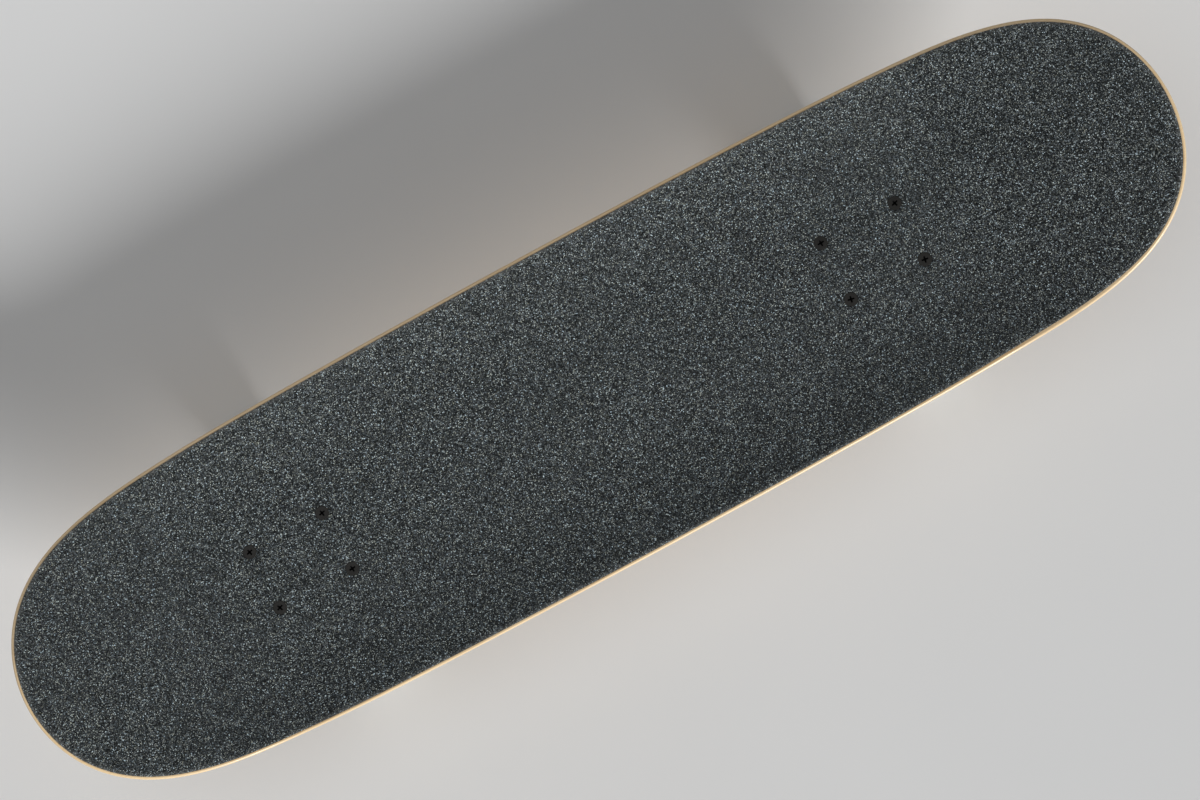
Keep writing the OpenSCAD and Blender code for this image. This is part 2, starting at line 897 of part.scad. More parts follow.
rear_right_bearing_shields();
rear_right_bearing_spacer();
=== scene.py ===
import json
import math
from contextlib import contextmanager

import bmesh
import bpy
import numpy as np
from mathutils import Matrix, Vector
from mathutils.kdtree import KDTree


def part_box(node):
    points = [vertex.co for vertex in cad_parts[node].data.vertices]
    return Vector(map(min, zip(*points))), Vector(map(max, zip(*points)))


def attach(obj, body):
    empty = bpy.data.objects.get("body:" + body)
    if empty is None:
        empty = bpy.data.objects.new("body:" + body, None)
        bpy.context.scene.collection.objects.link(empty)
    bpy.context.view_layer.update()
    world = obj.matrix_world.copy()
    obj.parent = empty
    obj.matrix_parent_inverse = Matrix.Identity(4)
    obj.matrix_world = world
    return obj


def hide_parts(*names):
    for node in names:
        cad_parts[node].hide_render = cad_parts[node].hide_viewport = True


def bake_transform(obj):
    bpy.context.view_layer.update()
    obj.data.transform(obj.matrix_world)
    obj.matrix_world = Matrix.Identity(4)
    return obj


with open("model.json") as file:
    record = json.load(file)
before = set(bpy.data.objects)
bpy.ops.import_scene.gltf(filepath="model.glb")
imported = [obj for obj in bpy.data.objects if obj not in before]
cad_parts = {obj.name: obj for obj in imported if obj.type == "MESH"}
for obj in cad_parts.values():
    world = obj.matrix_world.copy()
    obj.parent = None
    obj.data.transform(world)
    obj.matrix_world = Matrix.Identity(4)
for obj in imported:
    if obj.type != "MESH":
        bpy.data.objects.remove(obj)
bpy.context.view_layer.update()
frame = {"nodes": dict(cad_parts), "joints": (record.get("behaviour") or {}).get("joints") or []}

# The skateboard's looks. Shapes are worked out in millimetres and placed in the frame, which is in metres.
MM = 0.001
ENDS = ("front", "rear")
HANDS = ("left", "right")


# ---------- Sizes ----------

def box_mm(node):
    """Two corners of a CAD node's box, in millimetres."""
    low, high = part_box(node)
    return np.array(low) / MM, np.array(high) / MM


joints = {joint["name"]: joint for joint in frame["joints"]}
wheel_at = np.array(joints["front_left_wheel_spin"]["pos_m"]) / MM
deck_low, deck_high = box_mm("deck")
plate_low, plate_high = box_mm("front_baseplate")
front_bolts_low, front_bolts_high = box_mm("front_deck_bolts")
rear_bolts_low, rear_bolts_high = box_mm("rear_deck_bolts")
wheel_low, wheel_high = box_mm("front_left_wheel")

# Deck, as part.scad has it
deck_t = 11
grip_t = 0.9
deck_under_z = plate_high[2]
deck_top_z = deck_under_z + deck_t
truck_x = {
    "front": (front_bolts_low[0] + front_bolts_high[0]) / 2,
    "rear": (rear_bolts_low[0] + rear_bolts_high[0]) / 2,
}
middle_x = (truck_x["front"] + truck_x["rear"]) / 2
half_pitch_x = 53.975 / 2
half_pitch_y = 41.275 / 2
nose_reach = deck_high[0] - middle_x
tail_reach = middle_x - deck_low[0]
nose_power = 9
tail_power = 8.3
nose_angle = math.radians(21)
tail_angle = math.radians(20)
kick_radius = 120
kick_past_bolts = 8
kick_start = truck_x["front"] + half_pitch_x + kick_past_bolts - middle_x
half_deck = (deck_high[1] - deck_low[1]) / 2
side_taper = 4.8e-5
flat_half = 32
concave_depth = 10
concave_fade = 130
concave_share_at_tip = 0.5
top_edge_r = 2.2
under_edge_r = 3.5
bolt_hole_r = 2.65
plies = 7

# Truck, in its own frame: x outboard, z away from the deck, z = 0 on the mounting face
truck_height = deck_under_z - wheel_at[2]
axle_x = wheel_at[0] - truck_x["front"]
plate_half = (plate_high - plate_low) / 2
plate_t = 6
kingpin_lean = math.radians(22)
ring_at = Vector((-13, 0, 31))
pivot_at = Vector((27.5, 0, 11.5))
ring_web = 2.5
ring_half_t = 4.2
ring_r = 16.5
ring_seat_r = 12.9
boardside_h = 14.5
roadside_h = 10.5
washer_t = 2
seat_s = -ring_web - boardside_h - washer_t
nut_s = ring_web + roadside_h + washer_t
kingpin_r = 4.76
bushing_r = 12.5
bushing_tip_r = 9.8
cup_r = 7.6
axle_r = 3.97
axle_past_hanger = 34.925
hanger_half = 133.35 / 2
speed_washer_t = 1

# Threads: pitch, depth. Nuts: across the flats, height of the hexagon, collar's radius, whole height
truck_thread = (1.058, 0.6)
bolt_thread = (0.794, 0.42)
kingpin_nut = (14.3, 8, 6.7, 10.5)
axle_nut = (12.7, 6, 5.9, 8)
bolt_nut = (9.5, 3.8, 4.3, 5.6)

# Wheel and bearings, about the axle
wheel_r = (wheel_high[2] - wheel_low[2]) / 2
wheel_half_w = 16
tread_half_w = 9.5
bearing_r = 11
bearing_w = 7
spacer_l = 10
stack_half = spacer_l / 2 + bearing_w


# ---------- Building meshes ----------

def shape_of(points, faces):
    """A shape is its points, one a row, with its faces as tuples of their numbers."""
    return np.asarray(points, float).reshape(-1, 3), [tuple(int(i) for i in face) for face in faces]


def joined(*shapes):
    """One shape from several."""
    points, faces, start = [], [], 0
    for shape_points, shape_faces in shapes:
        points.append(shape_points)
        faces += [tuple(i + start for i in face) for face in shape_faces]
        start += len(shape_points)
    return np.vstack(points), faces


def moved(shape, matrix):
    """The shape with every point put through a matrix."""
    points, faces = shape
    m = np.array(matrix)
    return points @ m[:3, :3].T + m[:3, 3], faces


@contextmanager
def editing(mesh):
    """The mesh opened as a bmesh, and written back after."""
    bm = bmesh.new()
    bm.from_mesh(mesh)
    yield bm
    bm.to_mesh(mesh)
    bm.free()


def new_mesh(name, shape, matrix=Matrix.Identity(4)):
    """A mesh with its normals outward. A shape in millimetres is placed and scaled by the matrix."""
    points, faces = moved(shape, matrix)
    mesh = bpy.data.meshes.new(name)
    mesh.from_pydata([tuple(p) for p in points], [], faces)
    with editing(mesh) as bm:
        bmesh.ops.recalc_face_normals(bm, faces=bm.faces)
    return mesh


def loft(rings, closed=False):
    """Skin over rings of points, each ring joined to the next. Open ends are capped."""
    rings = [np.asarray(ring, float) for ring in rings]
    n = len(rings[0])
    faces = []
    for i in range(len(rings) if closed else len(rings) - 1):
        a, b = i * n, (i + 1) % len(rings) * n
        faces += [(a + k, a + (k + 1) % n, b + (k + 1) % n, b + k) for k in range(n)]
    if not closed:
        last = (len(rings) - 1) * n
        faces += [tuple(reversed(range(n))), tuple(range(last, last + n))]
    return shape_of(np.vstack(rings), faces)


def ring_of(radius, z, steps=64):
    """Ring about Z. The radius and the height are each a number, or one for each step."""
    a = np.arange(steps) * 2 * math.pi / steps
    return np.stack([radius * np.cos(a), radius * np.sin(a), z + np.zeros(steps)], axis=1)


def lathe(section, steps=64):
    """A ring-shaped solid: a closed section of (radius, height) turned about Z."""
    return loft([ring_of(r, z, steps) for r, z in section], closed=True)


def turned(section, steps=64):
    """A solid with no hole: (radius, height) from one end to the other, turned about Z."""
    return loft([ring_of(r, z, steps) for r, z in section])


def rounded(corners, steps=5, closed=True):
    """Outline through (x, y, radius) corners, with an arc at each corner."""
    outline = []
    n = len(corners)
    for i, (x, y, radius) in enumerate(corners):
        p = Vector((x, y))
        if radius == 0 or (not closed and i in (0, n - 1)):
            outline.append(tuple(p))
            continue
        u = (Vector(corners[i - 1][:2]) - p).normalized()
        v = (Vector(corners[(i + 1) % n][:2]) - p).normalized()
        half = u.angle(v) / 2
        centre = p + (u + v).normalized() * radius / math.sin(half)
        start = p + u * radius / math.tan(half) - centre
        end = p + v * radius / math.tan(half) - centre
        for k in range(steps + 1):
            t = k / steps
            arm = start.lerp(end, t)
            outline.append(tuple(centre + arm.normalized() * radius))
    return outline


def hexagon(flats, steps=72):
    """Distance from the middle to the side of a hexagon, for each step round it."""
    a = np.arange(steps) * 2 * math.pi / steps
    return flats / 2 / np.cos((a + math.pi / 6) % (math.pi / 3) - math.pi / 6)


def hex_nut(flats, hex_h, collar_r, h, bore_r, steps=72):
    """Chamfered hexagon with a round collar above it, all round a bore."""
    side = hexagon(flats, steps)
    face_r = np.minimum(side, flats / 2 * 0.97)
    chamfer = math.radians(30)
    fall = (side - face_r) * math.tan(chamfer)
    rings = [ring_of(bore_r, 0.4, steps), ring_of(bore_r + 0.4, 0, steps), ring_of(face_r, 0, steps),
             ring_of(side, fall, steps), ring_of(side, hex_h - fall, steps), ring_of(face_r, hex_h, steps)]
    collar = rounded([(collar_r + 0.25, hex_h, 0), (collar_r, h, 0.7), (bore_r + 0.9, h - 0.15, 0.3),
                      (bore_r + 0.9, h - 0.9, 0)], closed=False)
    rings += [ring_of(r, z, steps) for r, z in collar]
    rings.append(ring_of(bore_r, h - 0.9, steps))
    return loft(rings, closed=True)


def insert_ring(bore_r, h):
    """Nylon locking ring that shows inside the collar of a nut of height h."""
    inner_r, outer_r = bore_r - 0.1, bore_r + 0.86
    low, high = h - 1.6, h - 0.45
    section = [(inner_r, low, 0), (outer_r, low, 0), (outer_r, high, 0.2), (inner_r, high, 0.25)]
    return lathe(rounded(section, steps=3), 48)


def threaded(r, thread, plain_from, thread_from, thread_to, steps=48):
    """Rod along Z with a thread cut over its last stretch, and a chamfer on that end."""
    pitch, depth = thread
    levels = 8
    chamfer = 0.15 * r
    count = int((thread_to - thread_from) / pitch * levels)
    turn = np.arange(steps) / steps
    rings = [ring_of(r, plain_from, steps), ring_of(r, thread_from, steps)]
    for z in np.linspace(thread_from, thread_to, count)[1:]:
        phase = (z / pitch - turn) % 1
        groove = np.clip(np.abs(phase - 0.5) * 2.3 - 0.15, 0, 1)
        run_in = min(1, (z - thread_from) / (1.5 * pitch))
        end_r = r - chamfer * max(0, 1 - (thread_to - z) / (chamfer * 1.3))
        rings.append(ring_of(np.minimum(r - depth * (1 - groove) * run_in, end_r), z, steps))
    return loft(rings)


def cylinder(radius, low, high, place, steps=64):
    """Solid from low to high along a place's Z."""
    return moved(loft([ring_of(radius, low, steps), ring_of(radius, high, steps)]), place)


def prism(outline, low, high):
    """Upright prism on a flat outline of (x, y)."""
    ring = np.array([(x, y, 0) for x, y in outline], float)
    return loft([ring + (0, 0, low), ring + (0, 0, high)])


def temporary(mesh):
    """An object that only lasts while its modifiers are applied."""
    piece = bpy.data.objects.new("temporary", mesh)
    bpy.context.collection.objects.link(piece)
    return piece


def evaluated(piece, name):
    """The piece's mesh with its modifiers applied. The piece itself is removed."""
    depsgraph = bpy.context.evaluated_depsgraph_get()
    mesh = bpy.data.meshes.new_from_object(piece.evaluated_get(depsgraph))
    mesh.name = name
    bpy.data.objects.remove(piece)
    return mesh


def carved(mesh, cutters):
    """The mesh less each closed shape in turn, with the slivers that cutting leaves cleared away."""
    piece = temporary(mesh)
    tools = [temporary(new_mesh("cutter", shape)) for shape in cutters]
    for tool in tools:
        cut = piece.modifiers.new("cut", "BOOLEAN")
        cut.operation = "DIFFERENCE"
        cut.solver = "EXACT"
        cut.object = tool
    result = evaluated(piece, mesh.name)
    for tool in tools:
        bpy.data.objects.remove(tool)
    sliver = 0.002
    with editing(result) as bm:
        bmesh.ops.remove_doubles(bm, verts=bm.verts, dist=sliver)
        bmesh.ops.dissolve_degenerate(bm, edges=bm.edges, dist=sliver)
    return result


def casting(name, shapes, voxel=0.58, passes=14):
    """Shapes melted into one skin with filleted joins and edges, like a tumbled casting."""
    piece = temporary(new_mesh(name, joined(*shapes)))
    skin = piece.modifiers.new("skin", "REMESH")
    skin.mode = "VOXEL"
    skin.voxel_size = voxel
    skin.use_smooth_shade = True
    soften = piece.modifiers.new("soften", "SMOOTH")
    soften.factor = 0.5
    soften.iterations = passes
    return evaluated(piece, name)


def placed_mesh(mesh, matrix):
    """The mesh put through a matrix, with its normals kept outward."""
    mesh.transform(matrix)
    if matrix.determinant() < 0:
        mesh.flip_normals()
    return mesh


def dressed(name, mesh, material, nodes, smooth_angle=38):
    """An object with that mesh and finish, standing for those CAD nodes."""
    piece = bpy.data.objects.new(name, mesh)
    bpy.context.collection.objects.link(piece)
    mesh.materials.clear()
    mesh.materials.append(material)
    mesh.polygons.foreach_set("use_smooth", np.ones(len(mesh.polygons), bool))
    mesh.set_sharp_from_angle(angle=math.radians(smooth_angle))
    if nodes:
        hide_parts(*nodes)
    return piece


def add(name, mesh, material, slot, body, *nodes, smooth_angle=38):
    """A dressed piece that rides on one body."""
    piece = dressed(name, mesh, material, nodes, smooth_angle)
    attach(piece, body)


def add_shape(name, shape, place, material, slot, body, *nodes, smooth_angle=38):
    """A piece made straight from a shape and the place it goes."""
    add(name, new_mesh(name, shape, place), material, slot, body, *nodes, smooth_angle=smooth_angle)


# ---------- Places ----------

def truck_place(end):
    """From the truck's frame in millimetres to the row frame in metres."""
    turn = Matrix.Rotation(math.pi, 4, "X" if end == "front" else "Y")
    return Matrix.Scale(MM, 4) @ Matrix.Translation((truck_x[end], 0, deck_under_z)) @ turn


def deck_place(end):
    """From a truck's bolt pattern, with Z up, to the row frame."""
    return Matrix.Scale(MM, 4) @ Matrix.Translation((truck_x[end], 0, 0))


def wheel_place(end, hand):
    """From a wheel's frame in millimetres, with Z along its axle, to the row frame."""
    centre = np.array(joints[f"{end}_{hand}_wheel_spin"]["pos_m"])
    return Matrix.Translation(centre) @ Matrix.Scale(MM, 4) @ Matrix.Rotation(math.pi / 2, 4, "X")


on_kingpin = Matrix.Translation(ring_at) @ Matrix.Rotation(-kingpin_lean, 4, "Y")
steer_axis = (ring_at - pivot_at).normalized()
to_steer_axis = Vector((0, 0, 1)).rotation_difference(steer_axis).to_matrix().to_4x4()
on_pivot = Matrix.Translation(pivot_at) @ to_steer_axis
axle_at = Vector((axle_x, 0, truck_height))
on_axle = [Matrix.Translation(axle_at) @ Matrix.Rotation(way * math.pi / 2, 4, "X") for way in (-1, 1)]
bolt_places = [(sx * half_pitch_x, sy * half_pitch_y) for sx in (1, -1) for sy in (1, -1)]


def at(x, y, z):
    """A shift by x, y and z."""
    return Matrix.Translation((x, y, z))


# ---------- Materials ----------

class Finish:
    """A material being made. Each call adds a node and gives its output, to use as another's input."""

    def __init__(self, name):
        self.material = bpy.data.materials.new(name)
        self.material.use_nodes = True
        self.tree = self.material.node_tree
        self.shader = self.tree.nodes["Principled BSDF"]

    def fill(self, socket, value):
        """Links another node's output to the socket, or sets a plain value on it."""
        if isinstance(value, bpy.types.NodeSocket):
            self.tree.links.new(value, socket)
        else:
            socket.default_value = value

    def set(self, **inputs):
        """Fills the shader's own inputs, with _ for each space in a name."""
        for key, value in inputs.items():
            self.fill(self.shader.inputs[key.replace("_", " ")], value)

    def node(self, kind, settings, inputs, output=0):
        made = self.tree.nodes.new(kind)
        for key, value in settings.items():
            setattr(made, key, value)
        for key, value in inputs.items():
            self.fill(made.inputs[key], value)
        return made.outputs[output]

    def place(self, scale=(1, 1, 1)):
        """The place on the object, in metres, stretched by a scale."""
        place = self.node("ShaderNodeTexCoord", {}, {}, "Object")
        return self.node("ShaderNodeMapping", {}, {"Vector": place, "Scale": scale})

    def noise(self, scale, detail=3, roughness=0.55, stretch=(1, 1, 1), distortion=0.0):
        return self.node("ShaderNodeTexNoise", {}, {
            "Vector": self.place(stretch), "Scale": scale, "Detail": detail,
            "Roughness": roughness, "Distortion": distortion,
        }, "Fac")

    def cells(self, scale, output="Color", stretch=(1, 1, 1)):
        return self.node("ShaderNodeTexVoronoi", {}, {"Vector": self.place(stretch), "Scale": scale}, output)

    def stored(self, name):
        """A value that the mesh stores at its points."""
        return self.node("ShaderNodeAttribute", {"attribute_name": name}, {}, "Fac")

    def ramp(self, value, *stops):
        """Colours blended along a value, by stops of (position, colour)."""
        made = self.tree.nodes.new("ShaderNodeValToRGB")
        self.tree.links.new(value, made.inputs["Fac"])
        points = made.color_ramp.elements
        while len(points) < len(stops):
            points.new(0.5)
        for point, (position, colour) in zip(points, stops):
            point.position = position
            point.color = (*colour, 1)
        return made.outputs["Color"]

    def span(self, value, low, high, to_low=0.0, to_high=1.0):
        """The value's span from low to high stretched to another, and clamped to it."""
        return self.node("ShaderNodeMapRange", {}, {
            "Value": value, "From Min": low, "From Max": high, "To Min": to_low, "To Max": to_high,
        })

    def mix(self, share, a, b, blend="MIX"):
        made = self.tree.nodes.new("ShaderNodeMix")
        made.data_type = "RGBA"
        made.blend_type = blend
        colours = [s for s in made.inputs if s.type == "RGBA"]
        self.fill(made.inputs["Factor"], share)
        self.fill(colours[0], a if isinstance(a, bpy.types.NodeSocket) else (*a, 1))
        self.fill(colours[1], b if isinstance(b, bpy.types.NodeSocket) else (*b, 1))
        return next(s for s in made.outputs if s.type == "RGBA")

    def math(self, operation, a, b):
        return self.node("ShaderNodeMath", {"operation": operation}, {0: a, 1: b})

    def bump(self, height, distance, strength=1.0, normal=None):
        inputs = {"Height": height, "Distance": distance, "Strength": strength}
        if normal is not None:
            inputs["Normal"] = normal
        return self.node("ShaderNodeBump", {}, inputs)


def grit_finish():
    """Black grit on film: sharp grains, each facing its own way, painted glints (pale specks painted into the
    colour as highlights), and a filed, paler edge.
    """
    f = Finish("grit")
    grains = 1900
    painted_glint_scale = 1300
    grain = f.cells(grains)
    parts = f.tree.nodes.new("ShaderNodeSeparateColor")
    f.tree.links.new(grain, parts.inputs["Color"])
    shade, tint, gloss = parts.outputs
    fine = f.noise(1500, detail=4)
    patch = f.noise(9, detail=3)
    # Grain colour: dark tones that differ at random, but the palest stops at the top are painted highlights,
    # a few grains painted bright to stand for glints.
    body = f.ramp(shade, (0.0, (0.001, 0.0014, 0.0016)), (0.4, (0.0062, 0.0088, 0.0096)),
                  (0.78, (0.041, 0.051, 0.054)), (0.93, (0.15, 0.17, 0.17)), (1.0, (0.68, 0.76, 0.73)))
    tinted = f.ramp(tint, (0.0, (0.8, 0.94, 1.14)), (0.5, (1, 1, 1)), (1.0, (1.16, 1.04, 0.84)))
    body = f.mix(0.9, body, tinted, "MULTIPLY")
    # Painted highlights: small pale specks painted into the colour as glints, whatever the lamps.
    painted_glint = f.span(f.cells(painted_glint_scale, "Distance"), 0.2, 0.3, 1.0, 0.0)
    painted_glint_pick = f.span(f.cells(painted_glint_scale), 0.6, 0.75)
    body = f.mix(f.math("MULTIPLY", painted_glint, painted_glint_pick), body, (0.75, 0.8, 0.72))
    colour = f.mix(f.span(patch, 0.35, 0.65, 0.0, 0.15), body, (0.03, 0.036, 0.038))
    filed = f.span(f.stored("rim_distance"), 0.0, 3.2, 1.0, 0.0)
    worn = f.math("MULTIPLY", filed, f.span(fine, 0.35, 0.6, 0.3, 0.75))
    colour = f.mix(worn, colour, (0.15, 0.155, 0.15))
    tilt = f.node("ShaderNodeVectorMath", {"operation": "SUBTRACT"}, {0: grain, 1: (0.5, 0.5, 0.5)})
    tilt = f.node("ShaderNodeVectorMath", {"operation": "SCALE"}, {0: tilt, "Scale": 1.1})
    up = f.node("ShaderNodeNewGeometry", {}, {}, "Normal")
    facing = f.node("ShaderNodeVectorMath", {"operation": "ADD"}, {0: up, 1: tilt})
    facing = f.node("ShaderNodeVectorMath", {"operation": "NORMALIZE"}, {0: facing})
    f.set(Base_Color=colour, Roughness=f.span(gloss, 0, 1, 0.6, 0.25), Specular_IOR_Level=0.3,
          Normal=f.bump(f.cells(grains, "Distance"), 0.0002, 0.6, facing))
    return f.material


def maple_finish():
    """Lacquered maple plies: rotary-cut figure on the faces, and the plies' edges in the rim."""
    f = Finish("maple")
    swell = f.noise(1, detail=2, roughness=0.45, stretch=(1.5, 9, 9), distortion=0.25)
    rings = f.math("PINGPONG", f.math("MULTIPLY", swell, 15), 1)
    fibres = f.noise(1, detail=6, roughness=0.7, stretch=(14, 900, 900))
    flecks = f.cells(1, "Distance", stretch=(70, 800, 800))
    cloud = f.noise(1, detail=3, stretch=(3, 14, 14))
    face = f.ramp(rings, (0.0, (0.58, 0.38, 0.18)), (0.22, (0.72, 0.51, 0.27)), (0.7, (0.78, 0.57, 0.32)),
                  (1.0, (0.8, 0.6, 0.35)))
    face = f.mix(f.span(cloud, 0.3, 0.7, 0, 0.4), face, (0.76, 0.52, 0.26))
    face = f.mix(f.span(fibres, 0.35, 0.75, 0, 0.3), face, (0.56, 0.36, 0.17))
    face = f.mix(f.span(flecks, 0.0, 0.14, 0.4, 0), face, (0.27, 0.145, 0.06))
    depth = f.stored("ply_depth")
    ply = f.math("DIVIDE", depth, deck_t / plies)
    number = f.math("FLOOR", ply, 0)
    across = f.math("ADD", f.math("COMPARE", number, 2), f.math("COMPARE", number, 4))
    speck = f.noise(1800, detail=3)
    end_grain = f.ramp(speck, (0.3, (0.33, 0.185, 0.08)), (0.7, (0.5, 0.31, 0.15)))
    long_grain = f.mix(f.span(fibres, 0.3, 0.7), (0.84, 0.65, 0.39), (0.72, 0.51, 0.28))
    edge = f.mix(across, long_grain, end_grain)
    seam = f.math("PINGPONG", ply, 0.5)
    edge = f.mix(f.span(seam, 0.0, 0.07, 0.75, 0.0), edge, (0.22, 0.12, 0.05))
    below_top = f.span(depth, 0.05, 0.12)
    above_underside = f.span(depth, deck_t - 0.12, deck_t - 0.05, 1, 0)
    on_edge = f.math("MULTIPLY", below_top, above_underside)
    f.set(Base_Color=f.mix(on_edge, face, edge), Roughness=f.span(fibres, 0.3, 0.8, 0.33, 0.5),
          Coat_Weight=0.3, Coat_Roughness=0.2, Normal=f.bump(fibres, 0.00006, 0.5))
    return f.material


def metal_finish(name, colour, roughness, grain_scale, grain_depth):
    """Metal with a fine surface grain and faint staining."""
    f = Finish(name)
    cloud = f.noise(45, detail=4)
    grain = f.noise(grain_scale, detail=4, roughness=0.6)
    stained = tuple(c * 0.85 for c in colour)
    f.set(Base_Color=f.mix(f.span(cloud, 0.35, 0.7), colour, stained), Metallic=1.0,
          Roughness=f.span(f.noise(grain_scale * 0.4), 0.3, 0.7, roughness * 0.8, roughness * 1.25),
          Normal=f.bump(grain, grain_depth, 0.8))
    return f.material


def black_oxide_finish():
    """Blackened steel, with painted shade that darkens it down in the recess of a screw head."""
    f = Finish("black_steel")
    cloud = f.noise(60, detail=4)
    surface = f.mix(f.span(cloud, 0.35, 0.7), (0.012, 0.0115, 0.01), (0.02, 0.019, 0.017))
    # Painted shade: the colour goes to near black with depth in the cross recess, where shade falls.
    sunk = f.span(f.stored("sunk"), 0.05, 0.6)
    colour = f.mix(sunk, surface, (0.0005, 0.0005, 0.0005))
    roughness = f.math("ADD", f.span(cloud, 0.3, 0.7, 0.4, 0.5), f.math("MULTIPLY", sunk, 0.45))
    f.set(Base_Color=colour, Roughness=roughness, Specular_IOR_Level=0.25,
          Normal=f.bump(f.noise(1500, detail=4), 0.00003, 0.8))
    return f.material


def urethane_finish(name, colour, roughness, scuff):
    """Cast urethane: slightly see-through, lightly scuffed, with fine lines where a tread was turned."""
    f = Finish(name)
    marks = f.noise(70, detail=6, roughness=0.7)
    tread = f.stored("tread")
    turned_lines = f.noise(1, detail=2, stretch=(0, 2400, 0))
    scuffed = f.math("MULTIPLY", f.span(marks, 0.5, 0.75, 0, 0.35), f.span(tread, 0, 1, 0.6, 1.6))
    texture = f.bump(f.noise(1400, detail=3), 0.00004, 0.5)
    lines = f.bump(f.math("MULTIPLY", turned_lines, tread), 0.00006, 0.7, texture)
    matt = f.math("ADD", f.span(marks, 0.3, 0.8, roughness, roughness + 0.15), f.span(tread, 0, 1, 0, 0.15))
    f.set(Base_Color=f.mix(scuffed, colour, scuff), Roughness=matt, Normal=lines,
          Subsurface_Weight=0.25, Subsurface_Radius=(0.004, 0.003, 0.002), Subsurface_Scale=0.4)
    return f.material


def plastic_finish(name, colour, roughness):
    """Moulded plastic or rubber with a fine, even surface."""
    f = Finish(name)
    tone = f.noise(300, detail=3)
    paler = tuple(min(1, c * 1.35 + 0.005) for c in colour)
    f.set(Base_Color=f.mix(f.span(tone, 0.35, 0.7), colour, paler), Roughness=roughness,
          Normal=f.bump(f.noise(1600, detail=3), 0.00004, 0.5))
    return f.material


grit = grit_finish()
maple = maple_finish()
cast_aluminium = metal_finish("cast_aluminium", (0.62, 0.63, 0.64), 0.4, 700, 0.00018)
plated_steel = metal_finish("plated_steel", (0.6, 0.61, 0.63), 0.24, 1500, 0.00002)
bearing_steel = metal_finish("bearing_steel", (0.7, 0.71, 0.73), 0.16, 2500, 0.00001)
black_steel = black_oxide_finish()
wheel_urethane = urethane_finish("wheel_urethane", (0.84, 0.81, 0.72), 0.38, (0.62, 0.57, 0.48))
bushing_urethane = urethane_finish("bushing_urethane", (0.8, 0.72, 0.55), 0.34, (0.66, 0.56, 0.4))
cup_urethane = plastic_finish("cup_urethane", (0.02, 0.02, 0.021), 0.5)
seal_rubber = plastic_finish("seal_rubber", (0.02, 0.02, 0.022), 0.45)
insert_nylon = plastic_finish("insert_nylon", (0.62, 0.64, 0.66), 0.45)
cage_nylon = plastic_finish("cage_nylon", (0.62, 0.5, 0.28), 0.45)


# ---------- Deck and griptape ----------

def bend(d, angle):
    """(height, slope) of a bend that starts at d = 0 and runs on straight at the given angle."""
    d = np.maximum(d, 0)
    run = kick_radius * math.sin(angle)
    inside = np.minimum(d, run)
    height = kick_radius - np.sqrt(kick_radius ** 2 - inside ** 2) + (d - inside) * math.tan(angle)
    slope = inside / np.sqrt(kick_radius ** 2 - inside ** 2)
    return height, slope


def board_z(x, y):
    """(top, underside) height of the deck at a place."""
    u = x - middle_x
    run = np.abs(u) - kick_start
    nose, tail = bend(run, nose_angle), bend(run, tail_angle)
    height = np.where(u > 0, nose[0], tail[0])
    slope = np.where(u > 0, nose[1], tail[1])
    share = 1 - (1 - concave_share_at_tip) * np.clip(run / concave_fade, 0, 1)
    across = np.maximum(0, np.abs(y) - flat_half) / (half_deck - flat_half)
    top = deck_top_z + height + concave_depth * share * across ** 2
    return top, top - deck_t * np.sqrt(1 + slope ** 2)


def half_width(u):
    """Half of the deck's width at a distance from its middle, which is 0 at its tips."""
    reach = np.where(u > 0, nose_reach, tail_reach)
    power = np.where(u > 0, nose_power, tail_power)
    share = (np.abs(u) / reach) ** power
    return (half_deck - side_taper * u ** 2) * np.sqrt(np.maximum(0, 1 - share))


def board_columns(turns, between):
    """Places along the board, closer together where the outline turns at its tips."""
    turn = np.radians(np.linspace(1.2, 79.2, turns))
    nose = nose_reach * np.cos(turn) ** (2 / nose_power)
    tail = -tail_reach * np.cos(turn) ** (2 / tail_power)
    middle = np.linspace(nose[-1], tail[-1], between + 2)[1:-1]
    return np.concatenate([nose, middle, tail[::-1]])


# The deck's grid: places along it, and shares of its half width, a little closer together by its edges
columns = board_columns(44, 64)
row_count = 57
edge_share = 0.35
rows = np.sin(np.linspace(math.pi / 2, -math.pi / 2, row_count)) * edge_share
rows = rows + np.linspace(1, -1, row_count) * (1 - edge_share)


def edge_line(places, inset):
    """The left edge of the board at those places along it, held in from the outline."""
    side = np.stack([middle_x + places, half_width(places)], axis=1)
    mirror = side * (1, -1)
    around = np.vstack([mirror[:1], side, mirror[-1:]])
    along = around[2:] - around[:-2]
    inward = np.stack([-along[:, 1], along[:, 0]], axis=1) / np.linalg.norm(along, axis=1)[:, None]
    return side + np.reshape(inset, (-1, 1)) * inward


def right_trim(places):
    """How much more the griptape is cut back on the right, where a hand trimmed it deeper by the nose."""
    deepest, centre, spread = 0.95, 290, 75
    return deepest * np.exp(-((places - centre) / spread) ** 2)


def board_layer(inset, on_top, rise, trimmed=False):
    """Grid of points over the board, its edge held in from the outline, lifted by a rise."""
    left = edge_line(columns, inset)
    right = edge_line(columns, inset + right_trim(columns) * trimmed) * (1, -1)
    share = (1 - rows)[None, :, None] / 2
    flat = left[:, None] * (1 - share) + right[:, None] * share
    top, under = board_z(flat[..., 0], flat[..., 1])
    return np.dstack([flat, (top if on_top else under) + rise])


def rim_places():
    """The grid's outer points in order, as (column, row)."""
    last_c, last_r = len(columns) - 1, len(rows) - 1
    places = [(i, 0) for i in range(last_c + 1)] + [(last_c, j) for j in range(1, last_r + 1)]
    places += [(i, last_r) for i in range(last_c - 1, -1, -1)] + [(0, j) for j in range(last_r - 1, 0, -1)]
    return places


